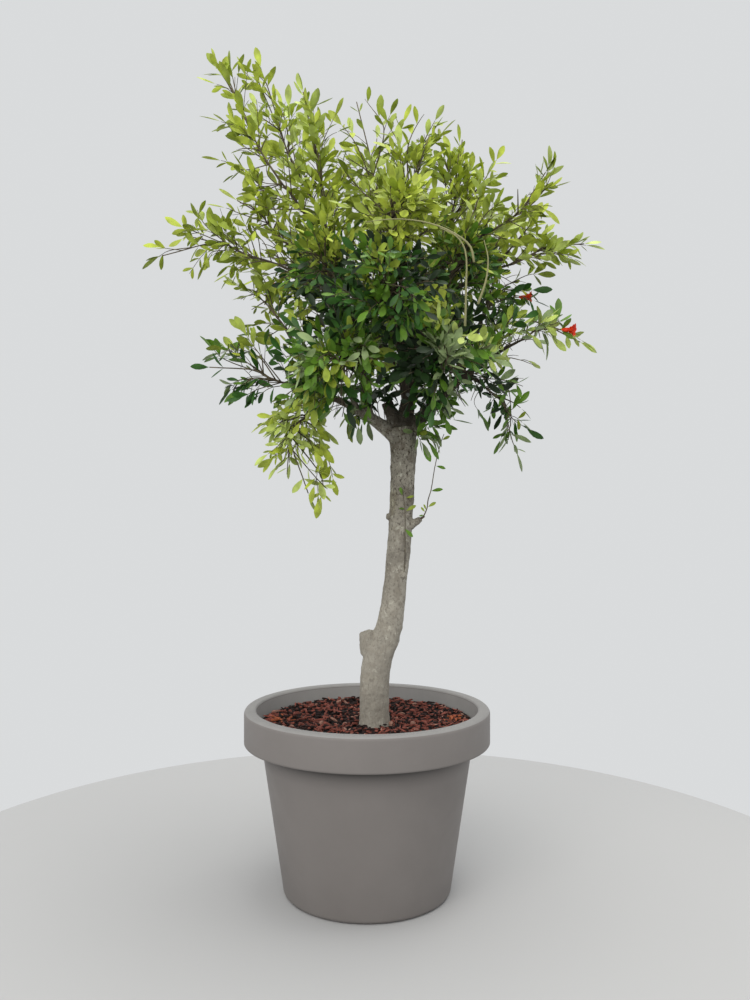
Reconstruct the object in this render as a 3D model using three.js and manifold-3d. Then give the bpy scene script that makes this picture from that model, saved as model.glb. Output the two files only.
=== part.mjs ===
// A pomegranate tree in a round planter, built with three.js. Millimetres, +Z up.
// The origin is the centre of the planter's flat underside, and the tree is seen from -Y.
//
// The tree is a trunk, a set of tapering boughs and, at the tip of each bough, one mass of foliage.
// Every mass keeps to a space of its own, clear of its neighbours.
import * as THREE from "three";
import { mergeVertices } from "three/addons/utils/BufferGeometryUtils.js";
import Module from "manifold-3d";

const wasm = await Module();
wasm.setup();

const V = (x, y, z) => new THREE.Vector3(x, y, z);
const UP = V(0, 0, 1);
const GAP = 0.3; // clearance left between two solids that touch in life
const CLEANING = 0.02; // edges shorter than this, left where solids cross, are closed up
const STEEP = 0.9; // a way that rises more steeply than this counts as upright
const GOLDEN = 0.618; // steps of this share of a whole spread things evenly

// ---------------------------------------------------------------- driving dimensions

const POT = {
  height: 372,
  rimRadius: 250,
  rimDrop: 68, // height of the rim's outer band
  lip: 25, // width of the rim's flat top
  neckRadius: 215, // the body where it meets the underside of the rim
  baseRadius: 171,
  wall: 6,
  taper: 0.14, // slope of the body's side, in radians from upright
  baseRound: 10,
  rimRound: 9, // of the rim's top edge
  underRound: 2.5, // of its lower edge
  innerRound: 5.4,
  segments: 32,
};
const SOIL_TOP = 325;
const MULCH = { depth: 18, relief: 3.5, rings: 3, margin: 4.5, seed: 5 };

const TREE_FOOT = V(14, -5, SOIL_TOP + GAP); // centre of the trunk's flat cut

// The trunk's centre line and radius, measured from its foot: it stands, leans at the old
// pruning stub and straightens again towards the fork.
const TRUNK = [
  { at: V(0, 0, 0), radius: 35 },
  { at: V(0, 0, 22), radius: 30.5 },
  { at: V(0, -3, 85), radius: 29.5 },
  { at: V(7, -2, 146), radius: 29.5 },
  { at: V(31, 5, 211), radius: 26.5 },
  { at: V(43, 11, 288), radius: 23.5 },
  { at: V(54, 12, 403), radius: 24 },
  { at: V(60, 8, 525), radius: 24.5 },
  { at: V(61, 5, 575), radius: 27 },
  { at: V(58, 5, 618), radius: 29 },
];
const TRUNK_SIDES = 12;
const TRUNK_STEPS = 16;
const TRUNK_FLUTES = { count: 3, depth: 0.045, turns: 0.6 };
const STUB_SIDES = 7;

// Stubs and knots left by old pruning, fused to the trunk.
const STUBS = [
  { at: V(-5, 0, 158), way: V(-0.28, -0.1, 1), length: 44, radii: [23, 14] },
  { at: V(58, 8, 405), way: V(0.8, -0.25, 0.55), length: 47, radii: [11, 6] },
  { at: V(55, 10, 432), way: V(-1, 0.1, 0.1), length: 30, radii: [9, 5.5] },
  { at: V(46, 9, 314), way: V(0.6, -0.8, 0.1), length: 28, radii: [9, 5.5] },
  { at: V(52, 4, 606), way: V(-0.42, -0.12, 1), length: 68, radii: [15, 12] },
];

// Main boughs leave the trunk's fork, and lesser ones leave another bough `t` of the way along it.
// Each bough ends where it enters its own mass, so a mass's place also sets its bough's course.
const MAIN = { foot: 16, tip: 6, sides: 7, steps: 5 };
const LESSER = { foot: 7.5, tip: 4, sides: 5, steps: 4 };
const COLLAR = 0.28; // swelling of a bough at its foot, as a share of its radius
const BOUGH_RISE = 0.16; // how far a bough bows upward, as a share of its length
const BOUGH_BEND = 0.45; // where along it a bough bows most
const FOOT_SHARE = 0.8; // the widest foot of a lesser bough, as a share of its parent's radius

// One mass: the bough it hangs on, the centre of its space, its furthest tip, half its width and
// its kind of leaf. Centres and tips are measured from the trunk's foot. A row with `fork` hangs on
// a main bough, which leaves the trunk at that height.
const MASSES = [
  // left side
  mass("left_low", { fork: 585 }, [-232, -55, 725], [-365, -55, 735], 72, "bright"),
  mass("left_mid", { on: "left_low", t: 0.75 }, [-231, 90, 905], [-329, 110, 944], 72, "lime"),
  mass("left_droop", { on: "left_low", t: 0.6 }, [-167, -70, 606], [-119, -60, 445], 80, "light"),
  mass("front_left", { on: "left_low", t: 0.42 }, [-66, -190, 733], [-81, -330, 698], 134, "bright"),
  // upper left
  mass("top_left", { on: "left_low", t: 0.3 }, [-113, -20, 1132], [-148, -45, 1322], 76, "lime"),
  mass("core_left", { on: "top_left", t: 0.4 }, [-96, -110, 927], [-140, -190, 950], 122, "green"),
  mass("left_reach", { on: "top_left", t: 0.5 }, [-312, 35, 1006], [-479, 35, 968], 70, "lime"),
  mass("left_fill", { on: "top_left", t: 0.45 }, [-226, -20, 1043], [-308, -40, 1089], 84, "lime"),
  mass("spire_left", { on: "top_left", t: 0.62 }, [-237, -60, 1185], [-317, -60, 1367], 70, "lime"),
  mass("spire_inner", { on: "top_left", t: 0.76 }, [-193, 90, 1235], [-265, 90, 1406], 74, "lime"),
  // upper right
  mass("top_right", { fork: 606 }, [173, 60, 1118], [191, 70, 1269], 86, "lime"),
  mass("core_right", { on: "top_right", t: 0.4 }, [164, -90, 944], [202, -160, 981], 118, "deep"),
  mass("spire_right", { on: "top_right", t: 0.77 }, [293, -60, 1046], [360, -60, 1149], 68, "lime"),
  mass("right_upper", { on: "top_right", t: 0.55 }, [356, 70, 1003], [483, 70, 1015], 62, "lime"),
  // middle, front and back
  mass("top_mid", { on: "top_right", t: 0.18 }, [-4, 60, 1173], [-46, 60, 1345], 78, "lime"),
  mass("top_centre", { on: "top_mid", t: 0.7 }, [75, -60, 1090], [122, -70, 1224], 84, "lime"),
  mass("back_top", { on: "top_mid", t: 0.5 }, [-5, 200, 1146], [9, 260, 1340], 130, "lime"),
  mass("front_mid", { on: "top_right", t: 0.12 }, [25, -240, 844], [23, -395, 825], 120, "green"),
  mass("front_top", { on: "front_mid", t: 0.6 }, [33, -180, 996], [32, -240, 1067], 130, "lime"),
  mass("back_low", { on: "top_right", t: 0.1 }, [25, 245, 849], [27, 415, 897], 130, "deep"),
  mass("back_left", { on: "back_low", t: 0.7 }, [-167, 200, 988], [-274, 290, 1053], 125, "green"),
  mass("back_right", { on: "back_low", t: 0.62 }, [207, 215, 1026], [311, 310, 1087], 130, "green"),
  // right side
  mass("right_lower", { fork: 592 }, [328, -65, 814], [442, -65, 765], 54, "sage"),
  mass("right_mid", { on: "right_lower", t: 0.5 }, [262, 130, 923], [358, 180, 943], 92, "deep"),
  mass("right_droop", { on: "right_lower", t: 0.55 }, [271, 40, 677], [284, 40, 556], 66, "deep"),
  mass("front_right", { on: "right_lower", t: 0.38 }, [122, -190, 726], [140, -320, 690], 126, "sage"),
];

const CROWN_CENTRE = 900; // height of the middle of the crown

// The seeded rule that fills a mass. One stem runs from the bough's tip to the mass's furthest tip.
// Side shoots leave it, each aimed at its own part of the face of the mass's space and bowed upward,
// and leaves sit on stem and shoots in pairs, each pair square to the last.
const RULE = {
  stem: {
    sides: 5,
    steps: 3,
    entry: 0.72, // how far out from the mass's centre it starts, as a share of the reach there
    follow: 0.2, // how far it first runs on in the bough's direction, as a share of its way in
    leafy: 0.6, // the outer share of it that bears leaves
  },
  shoot: {
    spacing: 17, // half width of a mass for each of its side shoots
    turn: 2.4, // from one shoot to the next, round the mass, and how far that may be out
    loose: 7,
    forward: 0.85, // the first lean towards the mass's tip, from 1 to -1, and the range of them
    spread: 1.35,
    leaves: { middle: 0.38, lean: 0.3, step: 0.02, first: 0.12, last: 0.8 }, // where it leaves the stem
    shortest: 23,
    arch: 0.3, // the most that it bows upward, as a share of its length
    leafy: 0.9,
  },
  twig: { foot: 3.2, tip: 2.4, straight: 90 }, // a shoot shorter than `straight` doesn't bend
  pair: {
    spacing: 40,
    angle: 0.8, // between a leaf and its twig
    tries: 7, // ways round the twig that a leaf may take before it is left out
    retry: 0.8, // turn from one such way to the next
  },
};
const LEAF = {
  length: 87,
  width: 54,
  least: 0.8, // the smallest leaf of a pair, as a share of the full length, and the range above it
  range: 0.25,
  tips: [1, 0.8, 0.6], // sizes tried in turn for the leaf at a twig's tip
  widest: 0.5, // where along it the leaf is widest
  blunt: 0.9, // where its blunt tip begins, and how wide it is on each side there
  bluntWidth: 0.4,
  tipWidth: 0.12,
  keel: 3,
  keelAt: 0.35,
  sunk: 2, // depth of its root in the twig
  upturn: 0.5, // how much more its face turns up than outward
  tilt: 1.6, // how far its face may turn from that
  marks: [0.45, 0.72, 1], // points along it that keep clear of other leaves
  room: 0.25, // how far they keep clear, as a share of its width
};
const WALL_MARGIN = 0.4; // between a mass and the flat wall it shares with a neighbour
const LIMB_MARGIN = 1.5; // between foliage and any bough it passes

// Scarlet flowers, each at the end of a shoot of its own.
const FLOWER = {
  length: 30,
  radius: 15,
  sides: 6,
  profile: [
    { at: 0, share: 0.18 },
    { at: 0.45, share: 0.37 },
    { at: 0.62, share: 0.33 },
    { at: 1, share: 1 },
  ],
  from: 0.4, // where along the mass's stem a flower's shoot leaves it
  sunk: 2,
};
const FLOWERS = {
  right_lower: [[377, -95, 799]],
  right_mid: [[325, 100, 905]],
  back_left: [[-262, 235, 960]],
};

// Two thin shoots that part from one foot on a pruning stub of the trunk.
const SPROUT = {
  stub: 1,
  radius: 2,
  foot: { radius: 3.2, length: 9, sides: 5 },
  root: 3, // depth of a shoot's root in that foot
  bow: 12,
  steps: 4,
  leaf: 30,
  leafSpacing: 42,
  leafLean: 1.1, // how far a leaf turns out from its shoot
  clear: 8, // between a leaf's tip and the trunk
  seed: 77,
  tips: [
    [142, -22, 612],
    [62, -46, 520],
  ],
};

const COLOURS = {
  pot: 0x85807d,
  soil: 0x2a1d16,
  mulch: 0x4a2420,
  bark: 0x8f8676,
  sprout: 0x7f9a35,
  lime: 0x86a02a,
  light: 0x8fac48,
  bright: 0x5f8c38,
  green: 0x4f7a2c,
  sage: 0x7a9a5c,
  deep: 0x2f5a2c,
};

function mass(name, bough, centre, tip, across, leaf) {
  const middle = V(...centre);
  const axis = V(...tip).sub(middle);
  const along = axis.length();
  return { name, ...bough, centre: middle, way: axis.normalize(), along, across, leaf };
}

// ---------------------------------------------------------------- seeded numbers

// Numbers from 0 to 1 that come out the same every time for one seed.
function seeded(seed) {
  let state = (seed * 7919 + 12345) % 2147483647;
  const next = () => {
    state = (state * 48271) % 2147483647;
    return state / 2147483647;
  };
  next();
  next();
  return next;
}

// ---------------------------------------------------------------- solids

function geometryOf(vertices, faces) {
  const places = vertices.flatMap((v) => v.toArray());
  const geometry = new THREE.BufferGeometry();
  geometry.setAttribute("position", new THREE.Float32BufferAttribute(places, 3));
  geometry.setIndex(faces.flat());
  return geometry;
}

// A closed geometry as a solid that can be joined and cut.
function solidOf(geometry) {
  const bare = geometry.clone();
  bare.deleteAttribute("normal");
  bare.deleteAttribute("uv");
  const merged = mergeVertices(bare, 1e-4);
  return new wasm.Manifold(
    new wasm.Mesh({
      numProp: 3,
      vertProperties: new Float32Array(merged.attributes.position.array),
      triVerts: new Uint32Array(merged.index.array),
    }),
  );
}

// The geometry of a solid's largest body: loose scraps and sealed hollows go.
function geometryFrom(solid) {
  const bodies = solid.setTolerance(CLEANING).decompose();
  const largest = bodies.reduce((a, b) => (b.volume() > a.volume() ? b : a));
  const mesh = largest.getMesh();
  const geometry = new THREE.BufferGeometry();
  geometry.setAttribute("position", new THREE.BufferAttribute(mesh.vertProperties, 3));
  geometry.setIndex(new THREE.BufferAttribute(mesh.triVerts, 1));
  return geometry;
}

// A closed tube through `points`, flat at both ends. radiusAt(i, angle) is its radius at point i.
// Its first end is square to `startWay`, where that is given.
function tube(points, radiusAt, sides, startWay) {
  const vertices = [];
  const faces = [];
  const first = points[1].clone().sub(points[0]).normalize();
  let side = Math.abs(first.z) > STEEP ? V(1, 0, 0) : UP.clone();
  points.forEach((point, i) => {
    const ahead = points[Math.min(i + 1, points.length - 1)];
    const behind = points[Math.max(i - 1, 0)];
    const tangent = i === 0 && startWay ? startWay : ahead.clone().sub(behind).normalize();
    side = side.clone().addScaledVector(tangent, -side.dot(tangent)).normalize();
    const across = tangent.clone().cross(side);
    for (let k = 0; k < sides; k++) {
      const angle = (2 * Math.PI * k) / sides;
      const out = side.clone().multiplyScalar(Math.cos(angle)).addScaledVector(across, Math.sin(angle));
      vertices.push(point.clone().addScaledVector(out, radiusAt(i, angle)));
    }
  });
  for (let i = 0; i + 1 < points.length; i++)
    for (let k = 0; k < sides; k++) {
      const a = i * sides + k;
      const b = i * sides + ((k + 1) % sides);
      faces.push([a, b, b + sides], [a, b + sides, a + sides]);
    }
  const last = (points.length - 1) * sides;
  for (let k = 1; k + 1 < sides; k++) faces.push([0, k + 1, k], [last, last + k, last + k + 1]);
  return geometryOf(vertices, faces);
}

// A leaf of eight faces: a point at the root, sunk in its twig, a blunt tip and a keel below.
function leafGeometry(foot, way, face, length) {
  const across = way.clone().cross(face).normalize();
  const normal = across.clone().cross(way);
  const scale = length / LEAF.length;
  const at = (along, sideways, up) =>
    foot
      .clone()
      .addScaledVector(way, along * length - LEAF.sunk)
      .addScaledVector(across, (sideways * scale * LEAF.width) / 2)
      .addScaledVector(normal, up * scale);
  const { widest, blunt, bluntWidth, tipWidth, keel, keelAt } = LEAF;
  const widePair = [at(widest, -1, 0), at(widest, 1, 0)];
  const bluntPair = [at(blunt, -bluntWidth, 0), at(1, tipWidth, 0)];
  const faces = [
    [0, 2, 1],
    [1, 2, 4],
    [1, 4, 3],
    [0, 1, 5],
    [1, 3, 5],
    [3, 4, 5],
    [4, 2, 5],
    [2, 0, 5],
  ];
  return geometryOf([at(0, 0, 0), ...widePair, ...bluntPair, at(keelAt, 0, -keel)], faces);
}

// A trumpet-shaped flower: a waxy tube that opens into a ring of petals.
function flowerGeometry(foot, way) {
  const points = FLOWER.profile.map(({ at }) => foot.clone().addScaledVector(way, at * FLOWER.length));
  return tube(points, (i) => FLOWER.profile[i].share * FLOWER.radius, FLOWER.sides);
}

// ---------------------------------------------------------------- planter

// Half of the planter's section, from the axis under the base, up the outside and down the inside.
function potProfile() {
  const { height, rimRadius, rimDrop, lip, neckRadius, baseRadius, wall } = POT;
  const { baseRound, rimRound, underRound, innerRound, taper } = POT;
  const half = Math.PI / 2;
  const under = height - rimDrop;
  const path = new THREE.Path();
  path.moveTo(0, 0);
  path.lineTo(baseRadius - baseRound, 0);
  path.absarc(baseRadius - baseRound, baseRound, baseRound, -half, -taper);
  path.lineTo(neckRadius, under);
  path.absarc(rimRadius - underRound, under + underRound, underRound, -half, 0);
  path.absarc(rimRadius - rimRound, height - rimRound, rimRound, 0, half);
  path.absarc(rimRadius - lip + innerRound, height - innerRound, innerRound, half, Math.PI);
  path.lineTo(neckRadius - wall, under);
  path.lineTo(baseRadius - wall, wall);
  path.lineTo(0, wall);
  return path.getPoints(2);
}

// The radius of the planter's inner wall at height z.
function innerRadius(z) {
  const { height, rimDrop, lip, rimRadius, neckRadius, baseRadius, wall } = POT;
  const under = height - rimDrop;
  if (z > under)
    return THREE.MathUtils.mapLinear(z, under, height, neckRadius - wall, rimRadius - lip);
  return THREE.MathUtils.mapLinear(z, wall, under, baseRadius - wall, neckRadius - wall);
}

// A LatheGeometry turns about Y, so it is stood up to turn about Z.
function lathe(profile, segments) {
  return new THREE.LatheGeometry(profile, segments).rotateX(Math.PI / 2);
}

function soilProfile() {
  const { wall, height, rimDrop } = POT;
  const levels = [wall + GAP, height - rimDrop, SOIL_TOP];
  const sides = levels.map((z) => new THREE.Vector2(innerRadius(z) - 2 * GAP, z));
  return [new THREE.Vector2(0, wall + GAP), ...sides, new THREE.Vector2(0, SOIL_TOP)];
}

// The layer of bark chips: a disc with a broken, uneven top, open where the trunk stands in it.
function mulchGeometry(standing) {
  const { depth, relief, rings, margin, seed } = MULCH;
  const low = SOIL_TOP + GAP;
  const high = SOIL_TOP + depth;
  const edge = innerRadius(high) - margin;
  const profile = [new THREE.Vector2(0, low), new THREE.Vector2(innerRadius(low) - 2 * GAP, low)];
  for (let ring = rings; ring >= 0; ring--) profile.push(new THREE.Vector2((edge * ring) / rings, high));
  const disc = lathe(profile, POT.segments);
  disc.deleteAttribute("normal");
  disc.deleteAttribute("uv");
  const merged = mergeVertices(disc, 1e-3);
  const random = seeded(seed);
  const place = merged.attributes.position;
  for (let i = 0; i < place.count; i++)
    if (place.getZ(i) > (low + high) / 2) place.setZ(i, high + relief * (2 * random() - 1));
  return geometryFrom(solidOf(merged).subtract(standing));
}

// ---------------------------------------------------------------- trunk and boughs

function spline(rows, steps, pick) {
  const curve = new THREE.CatmullRomCurve3(rows.map(pick), false, "catmullrom", 0.5);
  return Array.from({ length: steps + 1 }, (_, i) => curve.getPoint(i / steps));
}

const trunkPath = spline(TRUNK, TRUNK_STEPS, (row) => row.at);
const trunkRadii = spline(TRUNK, TRUNK_STEPS, (row) => V(row.radius, 0, 0)).map((v) => v.x);

// The trunk with its stubs, grown all round by `grow`.
function trunkSolid(grow = 0) {
  const { count, depth, turns } = TRUNK_FLUTES;
  const fluted = (i, angle) => {
    const twist = (turns * 2 * Math.PI * i) / TRUNK_STEPS;
    return trunkRadii[i] * (1 + depth * Math.cos(count * angle + twist)) + grow;
  };
  const stubs = STUBS.map(({ at, way, length, radii }) => {
    const end = at.clone().addScaledVector(way.clone().normalize(), length);
    return solidOf(tube([at, end], (i) => radii[i] + grow, STUB_SIDES));
  });
  const bole = solidOf(tube(trunkPath, fluted, TRUNK_SIDES, UP));
  return stubs.reduce((whole, stub) => whole.add(stub), bole);
}

// The point of the trunk's centre line at height z.
function trunkAt(z) {
  const i = Math.max(1, trunkPath.findIndex((p) => p.z >= z));
  const [a, b] = [trunkPath[i - 1], trunkPath[i]];
  return a.clone().lerp(b, (z - a.z) / (b.z - a.z));
}

// How far mass `m` would reach from its centre in a direction, before its neighbours' walls.
function ownReach(m, direction) {
  const along = direction.dot(m.way);
  const across = Math.sqrt(Math.max(0, 1 - along * along));
  return 1 / Math.hypot(along / m.along, across / m.across);
}

// The way in which a mass's egg-shaped surfaces face at an offset from its centre.
function slopeAt(m, offset) {
  const along = offset.dot(m.way) * (1 / m.along ** 2 - 1 / m.across ** 2);
  return offset.clone().divideScalar(m.across ** 2).addScaledVector(m.way, along);
}

// The flat walls of a mass's space: one to each neighbour, halfway between them by their sizes.
function wallsOf(m) {
  return MASSES.filter((other) => other !== m).map((other) => {
    const between = other.centre.clone().sub(m.centre);
    const toward = between.clone().normalize();
    const mine = ownReach(m, toward);
    const share = mine / (mine + ownReach(other, toward.clone().negate()));
    const fromMine = between.clone().multiplyScalar(share);
    const fromTheirs = between.clone().multiplyScalar(share - 1);
    const normal = slopeAt(m, fromMine).sub(slopeAt(other, fromTheirs)).normalize();
    return { normal, offset: normal.dot(m.centre) + normal.dot(fromMine) - WALL_MARGIN };
  });
}

for (const m of MASSES) m.walls = wallsOf(m);

// How far mass `m` reaches from its centre in a direction, walls included.
function reach(m, direction) {
  let least = ownReach(m, direction);
  for (const { normal, offset } of m.walls) {
    const slope = normal.dot(direction);
    if (slope > 1e-6) least = Math.min(least, (offset - normal.dot(m.centre)) / slope);
  }
  return least;
}

function inSpace(m, point) {
  const from = point.clone().sub(m.centre);
  if (from.length() > ownReach(m, from.clone().normalize())) return false;
  return m.walls.every(({ normal, offset }) => normal.dot(point) <= offset);
}

const limbs = {};

// A bough's course: out of its parent, bowed upward, to where it enters its mass.
function layBough(m) {
  const main = m.fork !== undefined;
  const size = main ? MAIN : LESSER;
  const parent = limbs[m.on];
  const start = main ? trunkAt(m.fork) : parent.curve.getPoint(m.t);
  const toMass = m.centre.clone().sub(start).normalize();
  const edge = reach(m, toMass.clone().negate()) * RULE.stem.entry;
  const inside = Math.min(edge, start.distanceTo(m.centre) / 2);
  const end = m.centre.clone().addScaledVector(toMass, -inside);
  const length = start.distanceTo(end);
  const bend = start.clone().lerp(end, BOUGH_BEND).addScaledVector(UP, length * BOUGH_RISE);
  const curve = new THREE.QuadraticBezierCurve3(start, bend, end);
  const points = curve.getPoints(size.steps);
  const foot = main ? size.foot : Math.min(size.foot, parent.radiusAt(m.t) * FOOT_SHARE);
  const radiusAt = (t) => foot + (size.tip - foot) * t + foot * COLLAR * (1 - t) ** 6;
  const way = end.clone().sub(points[size.steps - 1]).normalize();
  return { curve, points, radiusAt, sides: size.sides, way, end };
}

function boughSolid(limb, grow = 0) {
  const last = limb.points.length - 1;
  return solidOf(tube(limb.points, (i) => limb.radiusAt(i / last) + grow, limb.sides));
}

for (const m of MASSES) limbs[m.name] = layBough(m);

// A limb's course as short straight pieces, each with the radius where it starts.
function piecesOf(points, radiusAt) {
  return points.slice(1).map((to, i) => ({ line: new THREE.Line3(points[i], to), radius: radiusAt(i) }));
}

// The trunk and every bough in such pieces, for telling what foliage would touch.
const limbPieces = Object.values(limbs).flatMap(({ points, radiusAt }) =>
  piecesOf(points, (i) => radiusAt(i / (points.length - 1))),
);
limbPieces.push(...piecesOf(trunkPath, (i) => trunkRadii[i] * (1 + TRUNK_FLUTES.depth)));

function touchesLimb(point, spare) {
  const nearest = V(0, 0, 0);
  return limbPieces.some(({ line, radius }) => {
    line.closestPointToPoint(point, true, nearest);
    return nearest.distanceTo(point) < radius + spare;
  });
}

// ---------------------------------------------------------------- foliage

// Any direction square to `way`, turned about it by `angle`.
function squareTo(way, angle) {
  const first = (Math.abs(way.z) < STEEP ? UP : V(1, 0, 0)).clone().cross(way).normalize();
  return first.applyAxisAngle(way, angle);
}

// A mass as it grows: its solid pieces, and marks along them that say where there is no more room.
function newGrowth(m) {
  return { m, pieces: [], marks: [] };
}

function markLine(growth, from, to, radius, spacing) {
  const count = Math.max(1, Math.round(from.distanceTo(to) / spacing));
  for (let i = 0; i <= count; i++) growth.marks.push({ at: from.clone().lerp(to, i / count), radius });
}

function hasRoom(growth, point, radius) {
  return growth.marks.every((mark) => mark.at.distanceTo(point) > mark.radius + radius);
}

// The course of a twig as a few straight lengths, for its tube and for placing what grows on it.
function twigAlong(curve, most = 2) {
  const straight = curve.getLength() < RULE.twig.straight;
  const points = curve.getPoints(straight ? 1 : most);
  const lengths = points.slice(1).map((point, i) => point.distanceTo(points[i]));
  const steps = lengths.length;
  const split = (t) => {
    const i = Math.min(steps - 1, Math.floor(t * steps));
    return [points[i], points[i + 1], t * steps - i];
  };
  return {
    points,
    length: lengths.reduce((sum, length) => sum + length),
    at: (t) => split(t)[0].clone().lerp(split(t)[1], split(t)[2]),
    way: (t) => split(t)[1].clone().sub(split(t)[0]).normalize(),
  };
}

// Adds a twig if it stays in the mass's space. Says whether it did.
function addTwig(growth, twig) {
  const { foot, tip } = RULE.twig;
  const { points } = twig;
  const fits = (point) => inSpace(growth.m, point) && !touchesLimb(point, foot + LIMB_MARGIN);
  if (!points.slice(1).every(fits)) return false;
  growth.pieces.push(tube(points, (i) => foot + ((tip - foot) * i) / (points.length - 1), 3));
  for (let i = 1; i < points.length; i++) markLine(growth, points[i - 1], points[i], foot, 3 * foot);
  return true;
}

// Adds a leaf if it stays in the mass's space and meets nothing there but its own twig.
function addLeaf(growth, foot, way, face, length) {
  const leaf = leafGeometry(foot, way, face, length);
  const place = leaf.attributes.position;
  for (let i = 1; i < place.count; i++) {
    const corner = V(place.getX(i), place.getY(i), place.getZ(i));
    if (!inSpace(growth.m, corner) || touchesLimb(corner, LIMB_MARGIN)) return false;
  }
  const radius = LEAF.width * LEAF.room;
  const marks = LEAF.marks.map((share) => foot.clone().addScaledVector(way, share * length));
  if (!marks.every((mark) => hasRoom(growth, mark, radius))) return false;
  for (const at of marks) growth.marks.push({ at, radius });
  growth.pieces.push(leaf);
  return true;
}

// A leaf turns its face up and out, to the light.
function facing(foot, random) {
  const outward = V(foot.x, foot.y, foot.z - CROWN_CENTRE).normalize();
  const tilt = V(random() - 0.5, random() - 0.5, random() - 0.5).multiplyScalar(LEAF.tilt);
  return outward.addScaledVector(UP, LEAF.upturn).add(tilt).normalize();
}

// One leaf at the tip of a twig, and pairs of them back down the outer `share` of it.
function dressTwig(growth, twig, share, random) {
  const { spacing, angle, tries, retry } = RULE.pair;
  const tip = twig.at(1);
  for (const scale of LEAF.tips)
    if (addLeaf(growth, tip, twig.way(1), facing(tip, random), LEAF.length * scale)) break;
  const leaves = 2 * Math.floor((twig.length * share) / spacing);
  let turn = random() * Math.PI;
  for (let n = 0; n < leaves; n++) {
    const t = 1 - ((n + 1) * spacing) / 2 / twig.length;
    const foot = twig.at(t);
    for (let attempt = 0; attempt < tries; attempt++) {
      const out = squareTo(twig.way(t), turn + attempt * retry);
      const way = twig.way(t).multiplyScalar(Math.cos(angle)).addScaledVector(out, Math.sin(angle));
      const length = LEAF.length * (LEAF.least + LEAF.range * random());
      if (addLeaf(growth, foot, way, facing(foot, random), length)) break;
    }
    turn += n % 2 ? Math.PI / 2 : Math.PI;
  }
}

// The stem of a mass: from the tip of its bough, through its centre and on to its furthest leaf.
function stemOf(m) {
  const { end, way } = limbs[m.name];
  const foot = end.clone().addScaledVector(way, GAP);
  const tip = m.centre.clone().addScaledVector(m.way, reach(m, m.way) - LEAF.length);
  const onward = foot.distanceTo(m.centre) * RULE.stem.follow;
  const bend = foot.clone().lerp(m.centre, 0.5).addScaledVector(way, onward);
  return twigAlong(new THREE.CatmullRomCurve3([foot, bend, m.centre, tip]), RULE.stem.steps);
}

// Side shoot `k` of a mass.
function shootOf(m, k, stem, random) {
  const { turn, loose, forward, spread, leaves, shortest, arch } = RULE.shoot;
  const lean = forward - spread * ((k * GOLDEN) % 1);
  const out = squareTo(m.way, k * turn + loose * random());
  const aim = m.way.clone().multiplyScalar(lean).addScaledVector(out, Math.sqrt(1 - lean * lean));
  const face = m.centre.clone().addScaledVector(aim, reach(m, aim));
  const place = leaves.middle + leaves.lean * lean - leaves.step * k;
  const start = stem.at(THREE.MathUtils.clamp(place, leaves.first, leaves.last));
  const length = Math.max(shortest, start.distanceTo(face) - LEAF.length);
  const end = start.clone().addScaledVector(face.sub(start).normalize(), length);
  const bend = start.clone().lerp(end, 0.5).addScaledVector(UP, length * arch * random());
  return twigAlong(new THREE.QuadraticBezierCurve3(start, bend, end));
}

// A flower on a straight shoot of its own from the mass's stem.
function addFlower(growth, stem, place) {
  const end = V(...place);
  const twig = twigAlong(new THREE.LineCurve3(stem.at(FLOWER.from), end), 1);
  if (!addTwig(growth, twig)) return;
  const way = twig.way(1);
  const mouth = end.clone().addScaledVector(way, FLOWER.length);
  growth.pieces.push(flowerGeometry(end.clone().addScaledVector(way, -FLOWER.sunk), way));
  markLine(growth, end, mouth, FLOWER.radius, FLOWER.radius);
}

// The solid of a list of pieces that run into each other.
function joined(geometries) {
  const [first, ...rest] = geometries.map(solidOf);
  return rest.reduce((whole, piece) => whole.add(piece), first);
}

// A mass, grown by the rule. The same seed always grows the same mass.
function massGeometry(m, seed) {
  const growth = newGrowth(m);
  const random = seeded(seed);
  const stem = stemOf(m);
  const { points } = stem;
  const { radiusAt, way } = limbs[m.name];
  const thick = radiusAt(1);
  const last = points.length - 1;
  const taper = (i) => THREE.MathUtils.lerp(thick, RULE.twig.tip, i / last);
  growth.pieces.push(tube(points, taper, RULE.stem.sides, way));
  for (let i = 1; i <= last; i++) markLine(growth, points[i - 1], points[i], thick, 2 * thick);
  const shoots = [];
  for (let k = 1; k <= m.across / RULE.shoot.spacing; k++) {
    const twig = shootOf(m, k, stem, random);
    if (addTwig(growth, twig)) shoots.push(twig);
  }
  for (const place of FLOWERS[m.name] ?? []) addFlower(growth, stem, place);
  dressTwig(growth, stem, RULE.stem.leafy, random);
  for (const twig of shoots) dressTwig(growth, twig, RULE.shoot.leafy, random);
  return geometryFrom(joined(growth.pieces));
}

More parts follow.
